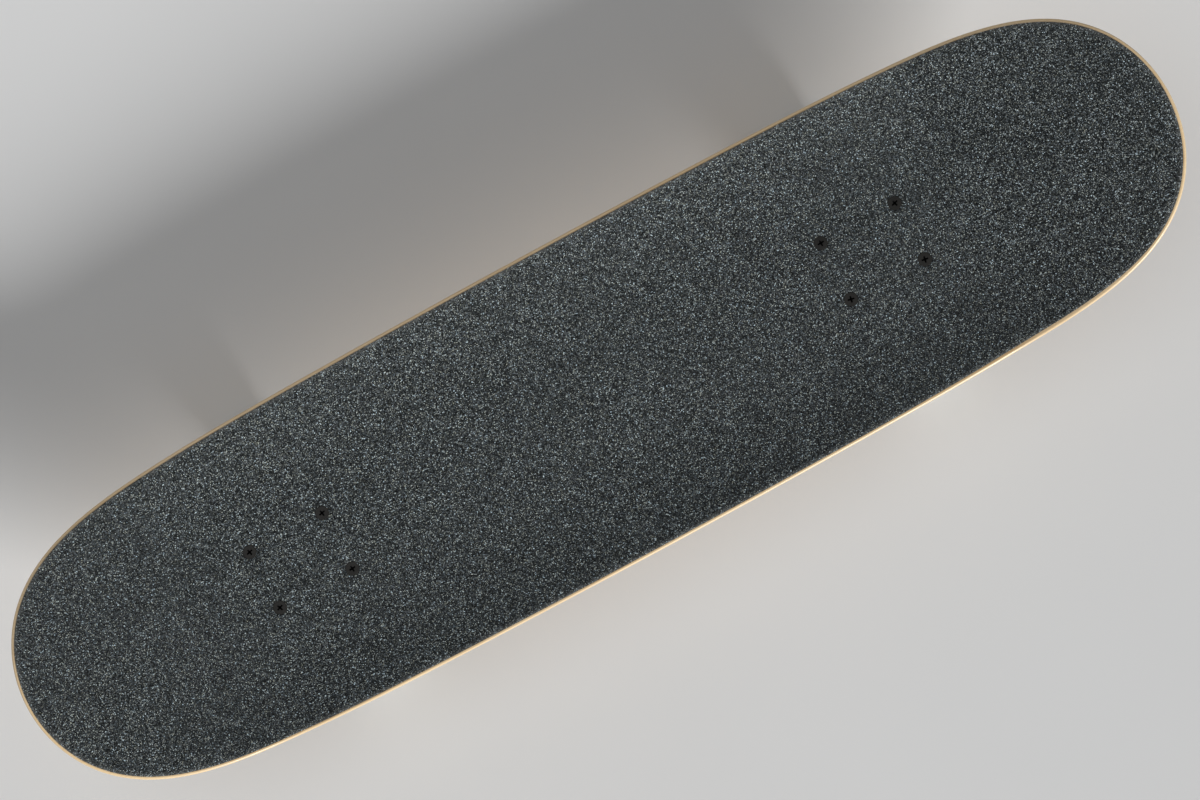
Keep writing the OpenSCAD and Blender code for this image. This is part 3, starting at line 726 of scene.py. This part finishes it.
def layered_sheet(layers, values):
    """Closed sheet with a gridded face at each end of its layers and rims between.

    Gives its shape, and a value for each point.
    """
    rim = rim_places()
    c, r = len(columns), len(rows)
    grids = [board_layer(*layer) for layer in layers]
    points = [grids[0].reshape(-1, 3)]
    level = [np.full(c * r, values[0])]
    rings = [[i * r + j for i, j in rim]]
    count = c * r
    for grid, value in zip(grids[1:-1], values[1:-1]):
        points.append(np.array([grid[i, j] for i, j in rim]))
        level.append(np.full(len(rim), value))
        rings.append(list(range(count, count + len(rim))))
        count += len(rim)
    points.append(grids[-1].reshape(-1, 3))
    level.append(np.full(c * r, values[-1]))
    rings.append([count + i * r + j for i, j in rim])
    faces = []
    for start, flip in ((0, False), (count, True)):
        for i in range(c - 1):
            for j in range(r - 1):
                a = start + i * r + j
                face = (a, a + r, a + r + 1, a + 1)
                faces.append(face[::-1] if flip else face)
    for upper, lower in zip(rings, rings[1:]):
        for k in range(len(rim)):
            n = (k + 1) % len(rim)
            faces.append((upper[k], upper[n], lower[n], lower[k]))
    return shape_of(np.vstack(points), faces), np.concatenate(level)


def store(mesh, name, values):
    """Stores a value at each of the mesh's points, for its material to read."""
    attribute = mesh.attributes.new(name, "FLOAT", "POINT")
    attribute.data.foreach_set("value", np.asarray(values, np.float32))


# How far a cutter runs past the faces it goes through
cut_spare = 5


def bolt_shafts(radius, low, high):
    """Upright cylinders at every deck bolt, as one shape to cut with."""
    places = [at(truck_x[end] + x, y, 0) for end in ENDS for x, y in bolt_places]
    return joined(*[cylinder(radius, low, high, place, 48) for place in places])


def edge_layers(radius, on_top):
    """Layers down a rounded edge of the deck, out from its top face or back in to its underside."""
    turns = np.radians(np.linspace(0, 90, 7))
    inward = -1 if on_top else 1
    layers = [(radius * (1 - math.sin(a)), on_top, inward * radius * (1 - math.cos(a))) for a in turns]
    return layers if on_top else layers[::-1]


def make_deck():
    """The bent plies, with rounded edges and bolt holes. Each point stores its depth below the top face."""
    top = edge_layers(top_edge_r, True)
    under = edge_layers(under_edge_r, False)
    depths = [-rise for _, _, rise in top] + [deck_t - rise for _, _, rise in under]
    shape, depth = layered_sheet(top + under, depths)
    mesh = new_mesh("deck", shape)
    store(mesh, "ply_depth", depth)
    mesh = carved(mesh, [bolt_shafts(bolt_hole_r, deck_under_z - cut_spare, deck_top_z + cut_spare)])
    placed_mesh(mesh, Matrix.Scale(MM, 4))
    add("maple_deck", mesh, maple, "maple", "board", "deck", smooth_angle=50)


# Round each bolt head the griptape is pressed down into a dimple
dimple_r = 7.2
head_hole_r = 4.53
head_top_z = deck_top_z + grip_t - 0.1


def dimple_lip():
    """The griptape's dimpled ring about one bolt, with z = 0 on the deck."""
    return lathe(rounded([
        (head_hole_r, 0.02, 0), (dimple_r, 0.02, 0), (dimple_r, grip_t, 0), (6.3, grip_t + 0.02, 0),
        (head_hole_r + 0.35, grip_t - 0.22, 0.2), (head_hole_r, grip_t - 0.5, 0.1),
    ]), 48)


def trimmed_line_tree():
    """The griptape's cut edge as a tree of points, to measure from."""
    fine = board_columns(60, 400)
    left = edge_line(fine, top_edge_r)
    right = edge_line(fine, top_edge_r + right_trim(fine)) * (1, -1)
    tree = KDTree(len(left) + len(right))
    for i, (x, y) in enumerate(np.vstack([left, right])):
        tree.insert((x, y, 0), i)
    tree.balance()
    return tree


def make_griptape():
    """The grit film, filed down at its edge and dimpled at each bolt. Each point stores how far in it is."""
    filed = ((1.8, grip_t), (1.1, grip_t - 0.06), (0.5, grip_t - 0.2), (0.05, grip_t - 0.42), (0, 0.02))
    layers = [(top_edge_r + inset, True, rise, True) for inset, rise in filed]
    shape, _ = layered_sheet(layers, [0] * len(layers))
    mesh = new_mesh("griptape", shape)
    mesh = carved(mesh, [bolt_shafts(dimple_r, deck_top_z - cut_spare, deck_top_z + cut_spare)])
    lip = dimple_lip()
    lips = [moved(lip, at(truck_x[end] + x, y, deck_top_z)) for end in ENDS for x, y in bolt_places]
    with editing(mesh) as bm:
        bm.from_mesh(new_mesh("lips", joined(*lips)))
    cut = trimmed_line_tree()
    store(mesh, "rim_distance", [cut.find((v.co.x, v.co.y, 0))[2] for v in mesh.vertices])
    placed_mesh(mesh, Matrix.Scale(MM, 4))
    add("griptape_sheet", mesh, grit, "grit", "board", "griptape", smooth_angle=30)


# ---------- Deck hardware ----------

bolt_r = 2.4
bolt_length = 25.4
bolt_thread_from = 15.4
bolt_head_r = 4.5
cross_turns = {"front": (16, 82, 4, 80), "rear": (12, 6, 15, 20)}


def cross_blade(width, top_half, low_half, depth):
    """Tapered blade of a cross-head driver, its wide end up."""
    rings = []
    for z, half, w in ((-depth, low_half, width * 0.7), (-depth / 2, top_half * 0.8, width * 0.9),
                       (0.3, top_half, width)):
        rings.append([(-half, -w / 2, z), (half, -w / 2, z), (half, w / 2, z), (-half, w / 2, z)])
    return loft(rings)


def deck_bolt_mesh():
    """A countersunk bolt pointing down from z = 0, with a cross recess, and how far each point is sunk."""
    head = [(0.02, 0, 0), (bolt_head_r, 0, 0.16), (bolt_head_r, -0.4, 0.1), (bolt_r + 0.05, -2.4, 0.3)]
    shank = [(bolt_r, -4, 0), (bolt_r, 0.2 - bolt_thread_from, 0)]
    mesh = new_mesh("deck_bolt", turned(rounded(head + shank, closed=False)[::-1]))
    blade = cross_blade(1.15, 2.4, 0.9, 2.1)
    core = turned([(0.5, -2.4), (0.95, -1.7), (1.05, 0.3)], 24)
    mesh = carved(mesh, [blade, moved(blade, Matrix.Rotation(math.pi / 2, 4, "Z")), core])
    thread = threaded(bolt_r, bolt_thread, bolt_thread_from - 0.4, bolt_thread_from, bolt_length, 32)
    with editing(mesh) as bm:
        bm.from_mesh(new_mesh("thread", moved(thread, Matrix.Rotation(math.pi, 4, "X"))))
    # The depth stored here drives the painted shade in the cross recess of the black steel.
    store(mesh, "sunk", [-v.co.z for v in mesh.vertices])
    return mesh


def copies(name, mesh, places):
    """One mesh from a copy of another at each place."""
    result = bpy.data.meshes.new(name)
    with editing(result) as bm:
        for place in places:
            part = mesh.copy()
            part.transform(place)
            bm.from_mesh(part)
            bpy.data.meshes.remove(part)
    return result


def make_deck_hardware(bolt, end):
    """Four bolts through the deck at one truck, and their locknuts."""
    places = [
        deck_place(end) @ at(x, y, head_top_z) @ Matrix.Rotation(math.radians(turn), 4, "Z")
        for (x, y), turn in zip(bolt_places, cross_turns[end])
    ]
    add(f"{end}_bolts", copies(f"{end}_bolts", bolt, places), black_steel, "black_steel", "board",
        f"{end}_deck_bolts", smooth_angle=32)
    nut = hex_nut(*bolt_nut, bolt_r)
    spots = [at(x, y, plate_t) @ Matrix.Rotation(i * 0.35, 4, "Z") for i, (x, y) in enumerate(bolt_places)]
    nuts = joined(*[moved(nut, spot) for spot in spots])
    place = truck_place(end)
    add_shape(f"{end}_locknuts", nuts, place, black_steel, "black_steel", "board", f"{end}_deck_locknuts",
              smooth_angle=25)
    rings = joined(*[moved(insert_ring(bolt_r, bolt_nut[-1]), spot) for spot in spots])
    add_shape(f"{end}_locknut_inserts", rings, place, insert_nylon, "cage_nylon", "board")


# ---------- Trucks ----------

def slab(outline, half):
    """Prism across the truck's middle plane, from an outline of (x, z)."""
    side = [[(x, y, z) for x, z in outline] for y in (-half, half)]
    return loft(side)


def make_baseplate():
    """The cast baseplate, with its kingpin boss, pivot socket and bolt holes."""
    corners = [(sx * plate_half[0], sy * plate_half[1], 9) for sx, sy in ((1, 1), (-1, 1), (-1, -1), (1, -1))]
    plate = prism(rounded(corners, 10), -1.5, plate_t)
    boss = [ring_of(16.2, seat_s - 14), ring_of(13.9, seat_s - 3), ring_of(13.9, seat_s + 0.8)]
    kingpin_boss = moved(loft(boss), on_kingpin)
    pivot_boss = cylinder(10.9, -7.8, 3.2, on_pivot)
    saddle = slab([(-26, 0), (-20, 8), (-8, 8), (8, 12), (16, 7.2), (24, 7.2), (36, 4), (38, 0)], 7.5)
    pads = [cylinder(6.9, 1, plate_t + 0.5, at(x, y, 0)) for x, y in bolt_places]
    mesh = casting("baseplate", [plate, kingpin_boss, pivot_boss, saddle, *pads])

    above = prism([(-60, -60), (60, -60), (60, 60), (-60, 60)], -5, 0)
    washer_seat = cylinder(18, seat_s, seat_s + 9, on_kingpin)
    kingpin_hole = cylinder(kingpin_r + 0.05, seat_s - 30, seat_s + 5, on_kingpin)
    head_pocket = cylinder(hexagon(14.4), seat_s - 40, seat_s - 5.5, on_kingpin, 72)
    cup_mouth = cylinder(13, 2.6, 9, on_pivot)
    cup_socket = cylinder(cup_r, -6.9, 9, on_pivot)
    bolt_holes = joined(*[cylinder(bolt_hole_r, -9, 30, at(x, y, 0), 32) for x, y in bolt_places])
    nut_seats = joined(*[cylinder(6.2, plate_t, 14, at(x, y, 0), 40) for x, y in bolt_places])
    return carved(mesh, [
        above, washer_seat, kingpin_hole, head_pocket, cup_mouth, cup_socket, bolt_holes, nut_seats,
    ])


def hanger_barrel():
    """The hanger's round arm about the axle, a little thicker in its middle."""
    turn = np.arange(48) * math.pi / 24
    half_profile = [(hanger_half + 1, 8.3), (hanger_half - 5, 8.3), (52, 8.5), (14, 9.5)]
    profile = [(-y, r) for y, r in half_profile] + [(0, 9.7)] + half_profile[::-1]
    return loft([
        [(axle_x + r * math.cos(a), y, truck_height + r * math.sin(a)) for a in turn] for y, r in profile
    ])


def make_hanger():
    """The cast hanger: its arm, its ring round the kingpin, its pivot stem, wings and spine."""
    ring = cylinder(ring_r + 0.1, -ring_half_t - 0.3, ring_half_t + 0.3, on_kingpin)
    stem = [(2.6, -5.2), (4.7, -3.4), (5.75, -1), (5.9, 1), (5.9, 8), (8, 19), (7.6, 24), (5, 30)]
    wing_x = axle_x - 0.5
    half_wing = [(54, truck_height), (40, truck_height - 9.5), (13, 33), (9, 27)]
    wing = [(-y, z) for y, z in half_wing] + half_wing[::-1]
    wings = loft([[(wing_x + side * 4.2, y, z) for y, z in wing] for side in (-1, 1)])
    spine = slab(rounded([
        (20.3, 15, 0), (22.6, 20, 3.5), (15.5, 28, 20), (11.5, 37, 25), (10, 48, 0), (0, 50, 0),
        (-3, 36, 0), (-3, 28, 3), (6, 21.5, 0),
    ]), 5.7)
    mesh = casting("hanger", [hanger_barrel(), ring, moved(turned(stem), on_pivot), wings, spine])

    kingpin_room = cylinder(6.6, -12, 12, on_kingpin, 48)
    roadside_seat = cylinder(ring_seat_r, ring_web, ring_web + 9, on_kingpin)
    boardside_seat = cylinder(ring_seat_r, -ring_web - 9, -ring_web, on_kingpin)
    roadside_room = cylinder(13, ring_half_t, 80, on_kingpin)
    boardside_room = cylinder(16, -80, -ring_half_t, on_kingpin)
    past_left = prism([(-40, hanger_half), (60, hanger_half), (60, 90), (-40, 90)], -40, 99)
    past_right = prism([(-40, -90), (60, -90), (60, -hanger_half), (-40, -hanger_half)], -40, 99)
    axle_hole = cylinder(axle_r, -90, 90, on_axle[0], 48)
    return carved(mesh, [
        kingpin_room, roadside_seat, boardside_seat, roadside_room, boardside_room,
        past_left, past_right, axle_hole,
    ])


def cup_washer(r):
    """Cupped washer with its rim up round the foot of a bushing of radius r."""
    bore = kingpin_r + 0.05
    rim_z = washer_t + 1.2
    return lathe(rounded([
        (bore, 0, 0.15), (r + 0.2, 0, 0.9), (r + 0.95, rim_z, 0.3),
        (r + 0.08, rim_z, 0.3), (r - 0.1, washer_t, 0.4), (bore, washer_t, 0.15),
    ]), 72)


def bushing(foot_r, tip_r, h, bulge):
    """Bushing with rounded edges and slightly swollen sides."""
    bore_r = 5.1
    side = [
        (foot_r + (tip_r - foot_r) * t + bulge * math.sin(math.pi * t), 1 + (h - 2) * t)
        for t in np.linspace(0, 1, 9)
    ]
    foot = rounded([(bore_r, 0, 0.4), (foot_r, 0, 0.8), (foot_r, 1, 0)], closed=False)[1:-1]
    tip = rounded([(tip_r, h - 1, 0), (tip_r, h, 0.8), (bore_r, h, 0.4)], closed=False)[1:-1]
    bore = [(bore_r, h * (1 - t)) for t in np.linspace(0.03, 0.97, 9)]
    return lathe(foot + side + tip + bore, 72)


def pivot_cup():
    """The cup that lines the pivot socket, with a rim over the socket's edge."""
    outer_r, rim_r = cup_r - 0.02, cup_r + 0.9
    return lathe(rounded([
        (5.85, -3, 0), (5.85, 3.2, 0.2), (rim_r, 3.2, 0.3), (rim_r, 2.62, 0), (outer_r, 2.62, 0),
        (outer_r, -6.85, 0), (1.5, -6.85, 0), (1.5, -5.9, 0), (4.6, -5, 0),
    ]))


def add_steel(name, shape, place, body, node, smooth_angle=38):
    """A plated steel piece of a truck."""
    add_shape(name, shape, place, plated_steel, "plated_steel", body, node, smooth_angle=smooth_angle)


def make_kingpin_stack(end, stack):
    """The kingpin with its nut and cup washers, all fixed to the board."""
    head_h = 5
    head = moved(hex_nut(kingpin_nut[0], head_h, 5, 5.4, 1), at(0, 0, seat_s - 5.8 - head_h))
    past_nut = 2
    pin = threaded(kingpin_r, truck_thread, seat_s - 5.5, nut_s - 1.5, nut_s + kingpin_nut[-1] + past_nut)
    at_nut = stack @ at(0, 0, nut_s)
    nut = hex_nut(*kingpin_nut, kingpin_r)
    add_steel(f"{end}_kingpin_bolt", joined(pin, head), stack, "board", f"{end}_kingpin", 30)
    add_steel(f"{end}_kingpin_locknut", nut, at_nut, "board", f"{end}_kingpin_nut", 25)
    add_shape(f"{end}_kingpin_insert", insert_ring(kingpin_r, kingpin_nut[-1]), at_nut, insert_nylon,
              "cage_nylon", "board")
    for name, foot_r, seat in (
        ("boardside", bushing_r, stack @ at(0, 0, seat_s)),
        ("roadside", bushing_tip_r, at_nut @ Matrix.Rotation(math.pi, 4, "X")),
    ):
        add_steel(f"{end}_{name}_cup_washer", cup_washer(foot_r), seat, "board", f"{end}_{name}_washer")


def make_bushings(end, stack):
    """Two urethane cones on the kingpin, one on each side of the hanger's ring, each a fixed shape."""
    foot_r = bushing_r - 0.3
    for name, tip_r, h, bulge, low, fixed_s, moving_s in (
        ("boardside", foot_r, boardside_h, 0.25, seat_s + washer_t, seat_s + washer_t, -ring_web),
        ("roadside", bushing_tip_r, roadside_h, 0.35, ring_web, ring_web + roadside_h, ring_web),
    ):
        mesh = new_mesh(f"{name}_bushing", bushing(foot_r, tip_r, h, bulge), stack @ at(0, 0, low))
        piece = dressed(f"{end}_{name}_urethane", mesh, bushing_urethane,
                        [f"{end}_{name}_bushing"])
        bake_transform(piece)


def make_axle(end, place):
    """The axle rod with its locknuts and speed washers, riding on the hanger."""
    body = f"{end}_truck"
    half = hanger_half + axle_past_hanger
    threaded_end = 10.5
    rods = [moved(threaded(axle_r, truck_thread, 0, half - threaded_end, half), m) for m in on_axle]
    add_steel(f"{end}_axle_rod", joined(*rods), place, body, f"{end}_axle", 30)
    nut_places = [m @ at(0, 0, hanger_half + 2 * speed_washer_t + 2 * stack_half) for m in on_axle]
    nut = hex_nut(*axle_nut, axle_r)
    nuts = [moved(nut, spot @ Matrix.Rotation(0.4 * i, 4, "Z")) for i, spot in enumerate(nut_places)]
    add_steel(f"{end}_axle_locknuts", joined(*nuts), place, body, f"{end}_axle_nuts", 25)
    rings = [moved(insert_ring(axle_r, axle_nut[-1]), spot) for spot in nut_places]
    add_shape(f"{end}_axle_nut_inserts", joined(*rings), place, insert_nylon, "cage_nylon", body)
    bore, rim = axle_r + 0.05, 6.3
    section = [(bore, 0, 0.1), (rim, 0, 0.2), (rim, speed_washer_t, 0.2), (bore, speed_washer_t, 0.1)]
    washer = lathe(rounded(section, 3), 48)
    gaps = (0, speed_washer_t + 2 * stack_half)
    washers = [moved(washer, m @ at(0, 0, hanger_half + gap)) for m in on_axle for gap in gaps]
    add_steel(f"{end}_speed_washer_set", joined(*washers), place, body, f"{end}_speed_washers")


def make_truck(end, baseplate, hanger):
    """One truck, in the order it is put together."""
    place = truck_place(end)
    stack = place @ on_kingpin
    add(f"{end}_baseplate_casting", placed_mesh(baseplate.copy(), place), cast_aluminium, "cast_aluminium",
        "board", f"{end}_baseplate", smooth_angle=55)
    add(f"{end}_hanger_casting", placed_mesh(hanger.copy(), place), cast_aluminium, "cast_aluminium",
        f"{end}_truck", f"{end}_hanger", smooth_angle=55)
    make_kingpin_stack(end, stack)
    add_shape(f"{end}_pivot_cup_liner", pivot_cup(), place @ on_pivot, cup_urethane, "cup_urethane",
              "board", f"{end}_pivot_cup")
    make_bushings(end, stack)
    make_axle(end, place)


# ---------- Wheels and bearings ----------

def wheel_section():
    """Section of the urethane, (radius, distance along the axle)."""
    lip = wheel_half_w - tread_half_w
    half = [
        (9.6, 0, 0), (9.6, spacer_l / 2, 0.2), (bearing_r, spacer_l / 2, 0.1), (bearing_r, stack_half, 0.25),
        (12.2, stack_half + 0.9, 0.4), (12.6, wheel_half_w - 1.6, 0.5), (14.4, wheel_half_w - 0.9, 0.5),
        (15.2, wheel_half_w, 0.4), (19.2, wheel_half_w, 0), (wheel_r, wheel_half_w, lip - 0.2),
        (wheel_r, 0, 0),
    ]
    upper = rounded(half, 10, closed=False)
    lower = [(r, -z) for r, z in reversed(upper[1:-1])]
    return upper + lower


def ring_section():
    """Outer ring of one bearing, with chamfered edges and a ledge for each seal."""
    side = bearing_w / 2
    ledge = side - 0.7
    return rounded([
        (8.9, -ledge, 0), (9.6, -ledge, 0), (9.6, -side, 0.12), (bearing_r, -side, 0.35),
        (bearing_r, side, 0.35), (9.6, side, 0.12), (9.6, ledge, 0), (8.9, ledge, 0),
        (8.9, 1.2, 0.1), (9.4, 0, 0.3), (8.9, -1.2, 0.1),
    ], 4)


def seal_section(way):
    """Moulded rubber seal with a stepped face, on one side of a bearing."""
    face = bearing_w / 2 - 0.12
    corners = [
        (6.2, face - 0.55, 0.05), (9.55, face - 0.55, 0.05), (9.55, face, 0.15), (8.9, face + 0.02, 0.1),
        (8.5, face - 0.22, 0.1), (7.1, face - 0.22, 0.1), (6.8, face - 0.02, 0.1), (6.2, face - 0.05, 0.1),
    ]
    return [(r, way * z) for r, z in rounded(corners, 3)][::way]


def make_wheel(end, hand):
    """A wheel with the outer rings and seals of its two bearings."""
    place = wheel_place(end, hand)
    name = f"{end}_{hand}"
    body = f"{name}_wheel"
    bearing_places = [at(0, 0, way * (spacer_l + bearing_w) / 2) for way in (-1, 1)]
    shape = lathe(wheel_section(), 192)
    mesh = new_mesh("wheel", shape, place)
    radius = np.hypot(shape[0][:, 0], shape[0][:, 1])
    store(mesh, "tread", np.clip(1.5 - 1.5 * (wheel_r - radius), 0, 1))
    add(f"{name}_tyre", mesh, wheel_urethane, "wheel_urethane", body, f"{name}_wheel", smooth_angle=30)
    rings = [moved(lathe(ring_section(), 72), spot) for spot in bearing_places]
    add_shape(f"{name}_outer_rings", joined(*rings), place, bearing_steel, "bearing_steel", body,
              f"{name}_bearing_outer_rings", smooth_angle=30)
    seals = [moved(lathe(seal_section(face), 72), spot) for spot in bearing_places for face in (-1, 1)]
    add_shape(f"{name}_seals", joined(*seals), place, seal_rubber, "seal_rubber", body,
              f"{name}_bearing_shields", smooth_angle=30)


def finish_cad_nodes():
    """The bearing pieces hidden behind the seals keep their CAD shapes, with a proper finish."""
    finishes = {"bearing_inner_rings": bearing_steel, "bearing_balls": bearing_steel,
                "bearing_cages": cage_nylon, "bearing_spacer": plated_steel}
    for node, piece in frame["nodes"].items():
        for ending, finish in finishes.items():
            if node.endswith(ending):
                piece.data.materials.clear()
                piece.data.materials.append(finish)


# ---------- Stage ----------

def make_floor():
    """A plain pale disc, in metres."""
    reach = 14
    thickness = 0.02
    mesh = new_mesh("floor", cylinder(reach, -thickness, 0, Matrix.Identity(4), 96))
    f = Finish("floor")
    f.set(Base_Color=f.mix(f.span(f.noise(3, detail=2), 0.3, 0.7), (0.74, 0.74, 0.735), (0.76, 0.76, 0.755)),
          Roughness=0.75)
    floor = bpy.data.objects.new("floor", mesh)
    bpy.context.collection.objects.link(floor)
    mesh.materials.append(f.material)


def aimed_light(name, light, place, aim):
    """A light that shines from its place to a point."""
    piece = bpy.data.objects.new(name, light)
    piece.location = place
    piece.rotation_euler = (Vector(aim) - Vector(place)).to_track_quat("-Z", "Y").to_euler()
    bpy.context.collection.objects.link(piece)


def area_light(name, place, aim, size, power):
    light = bpy.data.lights.new(name, "AREA")
    light.shape = "DISK"
    light.size = size
    light.energy = power
    aimed_light(name, light, place, aim)


def far_light(name, place, aim, spread, strength):
    """A large, far lamp: even over the whole floor, and soft by the angle that it fills."""
    light = bpy.data.lights.new(name, "SUN")
    light.angle = spread
    light.energy = strength
    aimed_light(name, light, place, aim)


def make_lights():
    """One soft, low key light over the right-hand edge, with a faint overhead, fill and surround."""
    bpy.context.scene.view_settings.view_transform = "Standard"
    middle = (0, 0, 0.08)
    far_light("key", (0.75, -3.6, 1.85), middle, spread=math.radians(20), strength=3.43)
    area_light("overhead", (-0.5, 0.5, 2.1), middle, size=1.4, power=6.5)
    area_light("fill", (-1.4, 1.8, 1.0), middle, size=1.6, power=2.5)
    world = bpy.data.worlds.new("studio")
    bpy.context.scene.world = world
    world.use_nodes = True
    background = world.node_tree.nodes["Background"]
    background.inputs["Color"].default_value = (0.9, 0.92, 0.95, 1)
    background.inputs["Strength"].default_value = 0.2


def make_camera():
    """Looks down from well above the board, with the nose up to the right."""
    distance = 1.4
    tip = Vector((0.037, -0.018, 0))
    heading = 0.496
    tilt = Matrix.Rotation(tip.length, 3, tip.normalized())
    turn = tilt @ Matrix.Rotation(heading, 3, "Z")
    data = bpy.data.cameras.new("camera")
    data.sensor_width = 36
    data.lens = 64.67
    data.shift_x = 0.0121
    data.shift_y = 0.0054
    camera = bpy.data.objects.new("camera", data)
    back = turn.transposed()
    aim = Vector((middle_x, 0, deck_top_z)) * MM
    camera.matrix_world = Matrix.Translation(aim + back @ Vector((0, 0, distance))) @ back.to_4x4()
    bpy.context.collection.objects.link(camera)
    bpy.context.scene.camera = camera


# ---------- The board ----------

make_deck()
make_griptape()
deck_bolt = deck_bolt_mesh()
baseplate_mesh = make_baseplate()
hanger_mesh = make_hanger()
for end in ENDS:
    make_deck_hardware(deck_bolt, end)
    make_truck(end, baseplate_mesh, hanger_mesh)
    for hand in HANDS:
        make_wheel(end, hand)
finish_cad_nodes()
make_floor()
make_lights()
make_camera()
